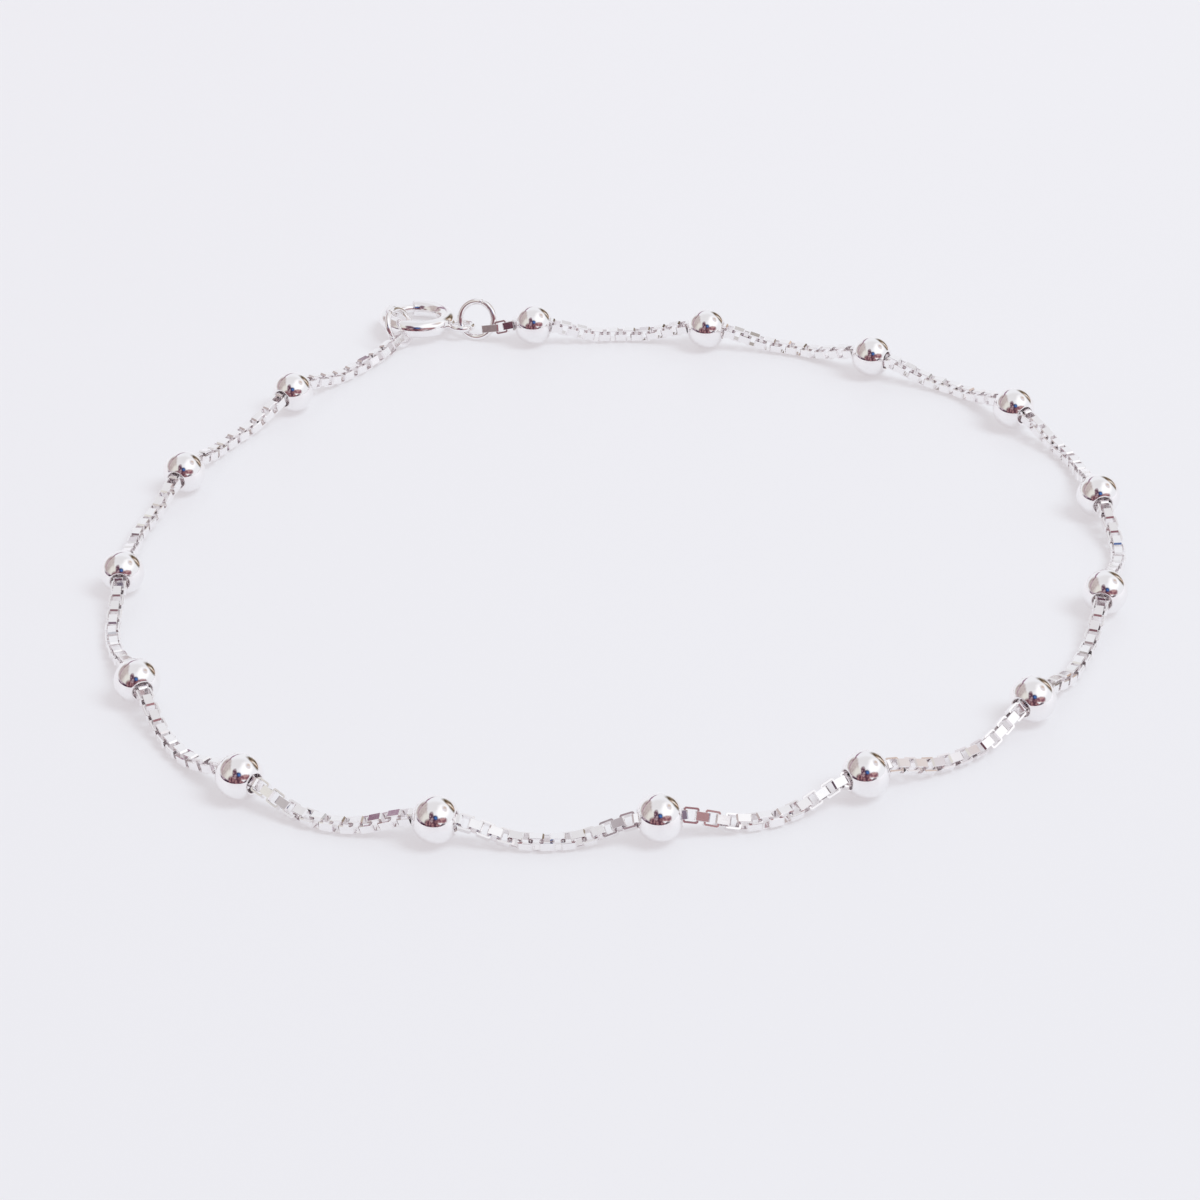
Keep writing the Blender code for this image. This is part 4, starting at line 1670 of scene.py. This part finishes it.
    def seat_turn(self, sheet: NodeSheet, given: bpy.types.NodeOutputs) -> bpy.types.NodeSocket:
        """The rotation of each link: along its run, and loose by a small random angle.

        Args:
            sheet: The tree's sheet.
            given: The tree's inputs.

        Returns:
            The rotation's socket.
        """
        axes = sheet.add(
            "FunctionNodeAxesToRotation",
            {
                "Primary Axis": self.named(sheet, "forward", "FLOAT_VECTOR"),
                "Secondary Axis": self.named(sheet, "across", "FLOAT_VECTOR"),
            },
            primary_axis="X",
            secondary_axis="Y",
        )
        most = sheet.add(
            "ShaderNodeCombineXYZ",
            {0: given["Turn Jitter"], 1: given["Lean Jitter"], 2: given["Lean Jitter"]},
        ).outputs[0]
        least = sheet.add("ShaderNodeVectorMath", {0: most, "Scale": -1.0}, operation="SCALE").outputs[0]
        loose = sheet.add(
            "FunctionNodeRandomValue",
            {0: least, 1: most, "Seed": given["Seed"]},
            data_type="FLOAT_VECTOR",
        )
        small = sheet.add("FunctionNodeEulerToRotation", {0: loose.outputs[0]})
        turned = sheet.add(
            "FunctionNodeRotateRotation",
            {0: axes.outputs[0], 1: small.outputs[0]},
            rotation_space="LOCAL",
        )
        return turned.outputs[0]

    def seat_mesh(self, name: str, seats: Sequence[LinkSeat]) -> bpy.types.Mesh:
        """Points with the place and frame of each link as attributes.

        Args:
            name: The mesh's name.
            seats: The links' seats.

        Returns:
            A mesh of points alone.
        """
        mesh = bpy.data.meshes.new(name)
        mesh.from_pydata([seat.station.point for seat in seats], [], [])
        for label, kind, values in (
            ("forward", "FLOAT_VECTOR", [value for seat in seats for value in seat.station.forward]),
            ("across", "FLOAT_VECTOR", [value for seat in seats for value in seat.across]),
            ("pitch", "FLOAT", [seat.pitch for seat in seats]),
            ("is_long", "BOOLEAN", [seat.is_long for seat in seats]),
        ):
            attribute = mesh.attributes.new(label, kind, "POINT")
            attribute.data.foreach_set("vector" if kind == "FLOAT_VECTOR" else "value", values)
        return mesh

    def build(self, finish: bpy.types.Material) -> None:
        """Grow both halves of the chain and hand them over.

        Args:
            finish: The chain's material.
        """
        tree = self.chain_tree()
        sizes = self.sizes
        values = {
            "Link Pitch": sizes.pitch,
            "End Pitch": sizes.end_pitch,
            "Link Width": sizes.link_width,
            "Strip Width": sizes.strip_width,
            "Strip Thickness": sizes.strip_thickness,
            "Play": self.play,
            "Fold Radius": self.fold_radius,
            "Chamfer": self.chamfer,
            "Turn Jitter": math.radians(self.turn_jitter_deg),
            "Lean Jitter": math.radians(self.lean_jitter_deg),
            "Seed": self.seed,
            "Finish": finish,
        }
        for node, seats in self.runs().items():
            carrier = place_piece(node + "_seats", self.seat_mesh(node + "_seats", seats), None)
            modifier = carrier.modifiers.new("box_chain", "NODES")
            modifier.node_group = tree
            for item in tree.interface.items_tree:
                if item.in_out == "INPUT" and item.name in values:
                    modifier[item.identifier] = values[item.name]
            carrier.update_tag()
            graph = bpy.context.evaluated_depsgraph_get()
            mesh = bpy.data.meshes.new_from_object(carrier.evaluated_get(graph), depsgraph=graph)
            carrier.modifiers.clear()
            bpy.data.objects.remove(carrier, do_unlink=True)
            mesh.name = node + "_links"
            piece = place_piece(node + "_links", mesh, finish)
            LOG.info("%s has %d links", node, len(seats))
            hand_over(piece, Body.ROOT, Slot.CHAIN, node)


@dataclass
class PolishedBeads:
    """The drilled balls, each turned with its hole along the chain."""

    chain: BoxChain
    bore: float = 0.00104
    lip: float = 0.00008
    around: int = 80
    bands: int = 44
    lip_steps: int = 5
    smooth_below_deg: float = 60.0

    def profile(self, radius: float) -> list[tuple[float, float, float]]:
        """The ball's turned outline.

        Args:
            radius: The ball's radius.

        Returns:
            Triples of distance along the hole, distance from its axis, and how far into the bore the
            point is, for the finish's tarnish and painted shade.
        """
        seat = self.bore / 2 + self.lip
        lip_along = math.sqrt((radius - self.lip) ** 2 - seat ** 2)
        first = math.atan2(seat, lip_along)
        points = []
        for band in range(self.bands + 1):
            angle = first + (math.pi - 2 * first) * band / self.bands
            points.append((radius * math.cos(angle), radius * math.sin(angle), 0.0))
        sweep = first + math.pi / 2
        lips = []
        for step in range(1, self.lip_steps + 1):
            angle = first - sweep * step / self.lip_steps
            share = step / self.lip_steps
            reach = lip_along + self.lip * math.cos(angle)
            lips.append((-reach, seat + self.lip * math.sin(angle), share))
        return points + lips + [(-along, out, share) for along, out, share in reversed(lips)]

    def mesh(self, name: str, centre: Vector, along: Vector, radius: float) -> bpy.types.Mesh:
        """One ball in its place.

        Args:
            name: The mesh's name.
            centre: The ball's centre.
            along: The direction of its hole.
            radius: Its radius.

        Returns:
            A closed mesh with its bore marked hidden, for tarnish and painted shade.
        """
        across = WORLD_UP.cross(along)
        outline = self.profile(radius)
        rings = []
        for distance, out, _ in outline:
            ring = []
            for side in range(self.around):
                turn = 2 * math.pi * side / self.around
                away = across * math.cos(turn) + WORLD_UP * math.sin(turn)
                ring.append(centre + along * distance + away * out)
            rings.append(ring)
        mesh = stitched(rings, True, name, self.smooth_below_deg)
        # Painted shade and tarnish: the bore's points are marked, deeper ones more.
        hidden = mesh.attributes.new(HIDDEN, "FLOAT", "POINT")
        hidden.data.foreach_set("value", [share for _, _, share in outline for _ in range(self.around)])
        return mesh

    def build(self, finish: bpy.types.Material) -> None:
        """Make every ball.

        Args:
            finish: The balls' material.
        """
        for index, stop in enumerate(self.chain.stops):
            name = stop.node.replace("bead", "ball")
            mesh = self.mesh(name, stop.centre, self.chain.direction(index), stop.diameter / 2)
            hand_over(place_piece(name, mesh, finish), Body.ROOT, Slot.BEAD, stop.node)


STOPS = [
    BeadStop("bead_01"),
    BeadStop("bead_02"),
    BeadStop("bead_03"),
    BeadStop("bead_04", 0.0, 0.0, 0.0001),
    BeadStop("bead_05", 0.0, 40.0, 0.0003),
    BeadStop("bead_06", 6.0, 34.0, 0.0003),
    BeadStop("bead_07", 36.0, 54.0, 0.0004),
    BeadStop("bead_08", 40.0, 30.0, 0.0003, 32.0),
    BeadStop("bead_09", 44.0, 0.0, 0.0),
    BeadStop("bead_10"),
    BeadStop("bead_11"),
    BeadStop("bead_12"),
    BeadStop("bead_13"),
    BeadStop("bead_14"),
    BeadStop("bead_15"),
]


def main() -> None:
    """Build the bracelet's looks around the model."""
    logging.basicConfig(level=logging.INFO, format="%(name)s: %(message)s")
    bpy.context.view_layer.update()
    CameraRig().build()
    Studio().build()
    groups = SilverGroups()
    ball_finish = SilverFinish("ball_silver").material(groups)
    chain_finish = SilverFinish(
        "link_silver", roughness_low=0.08, roughness_high=0.16, cloud_scale=1500.0, ripple_depth=2e-6
    ).material(groups)
    clasp_finish = SilverFinish(
        "clasp_silver_finish", roughness_low=0.06, roughness_high=0.13, ripple_depth=2e-6
    ).material(groups)
    sizes = ClaspSizes()
    chain = BoxChain(ChainSizes(), STOPS, sizes.left_ring(), sizes.right_ring(), PolishedBeads.bore)
    chain.build(chain_finish)
    PolishedBeads(chain).build(ball_finish)
    SpringRingClasp(sizes).build(clasp_finish)


if __name__ == "__main__":
    main()
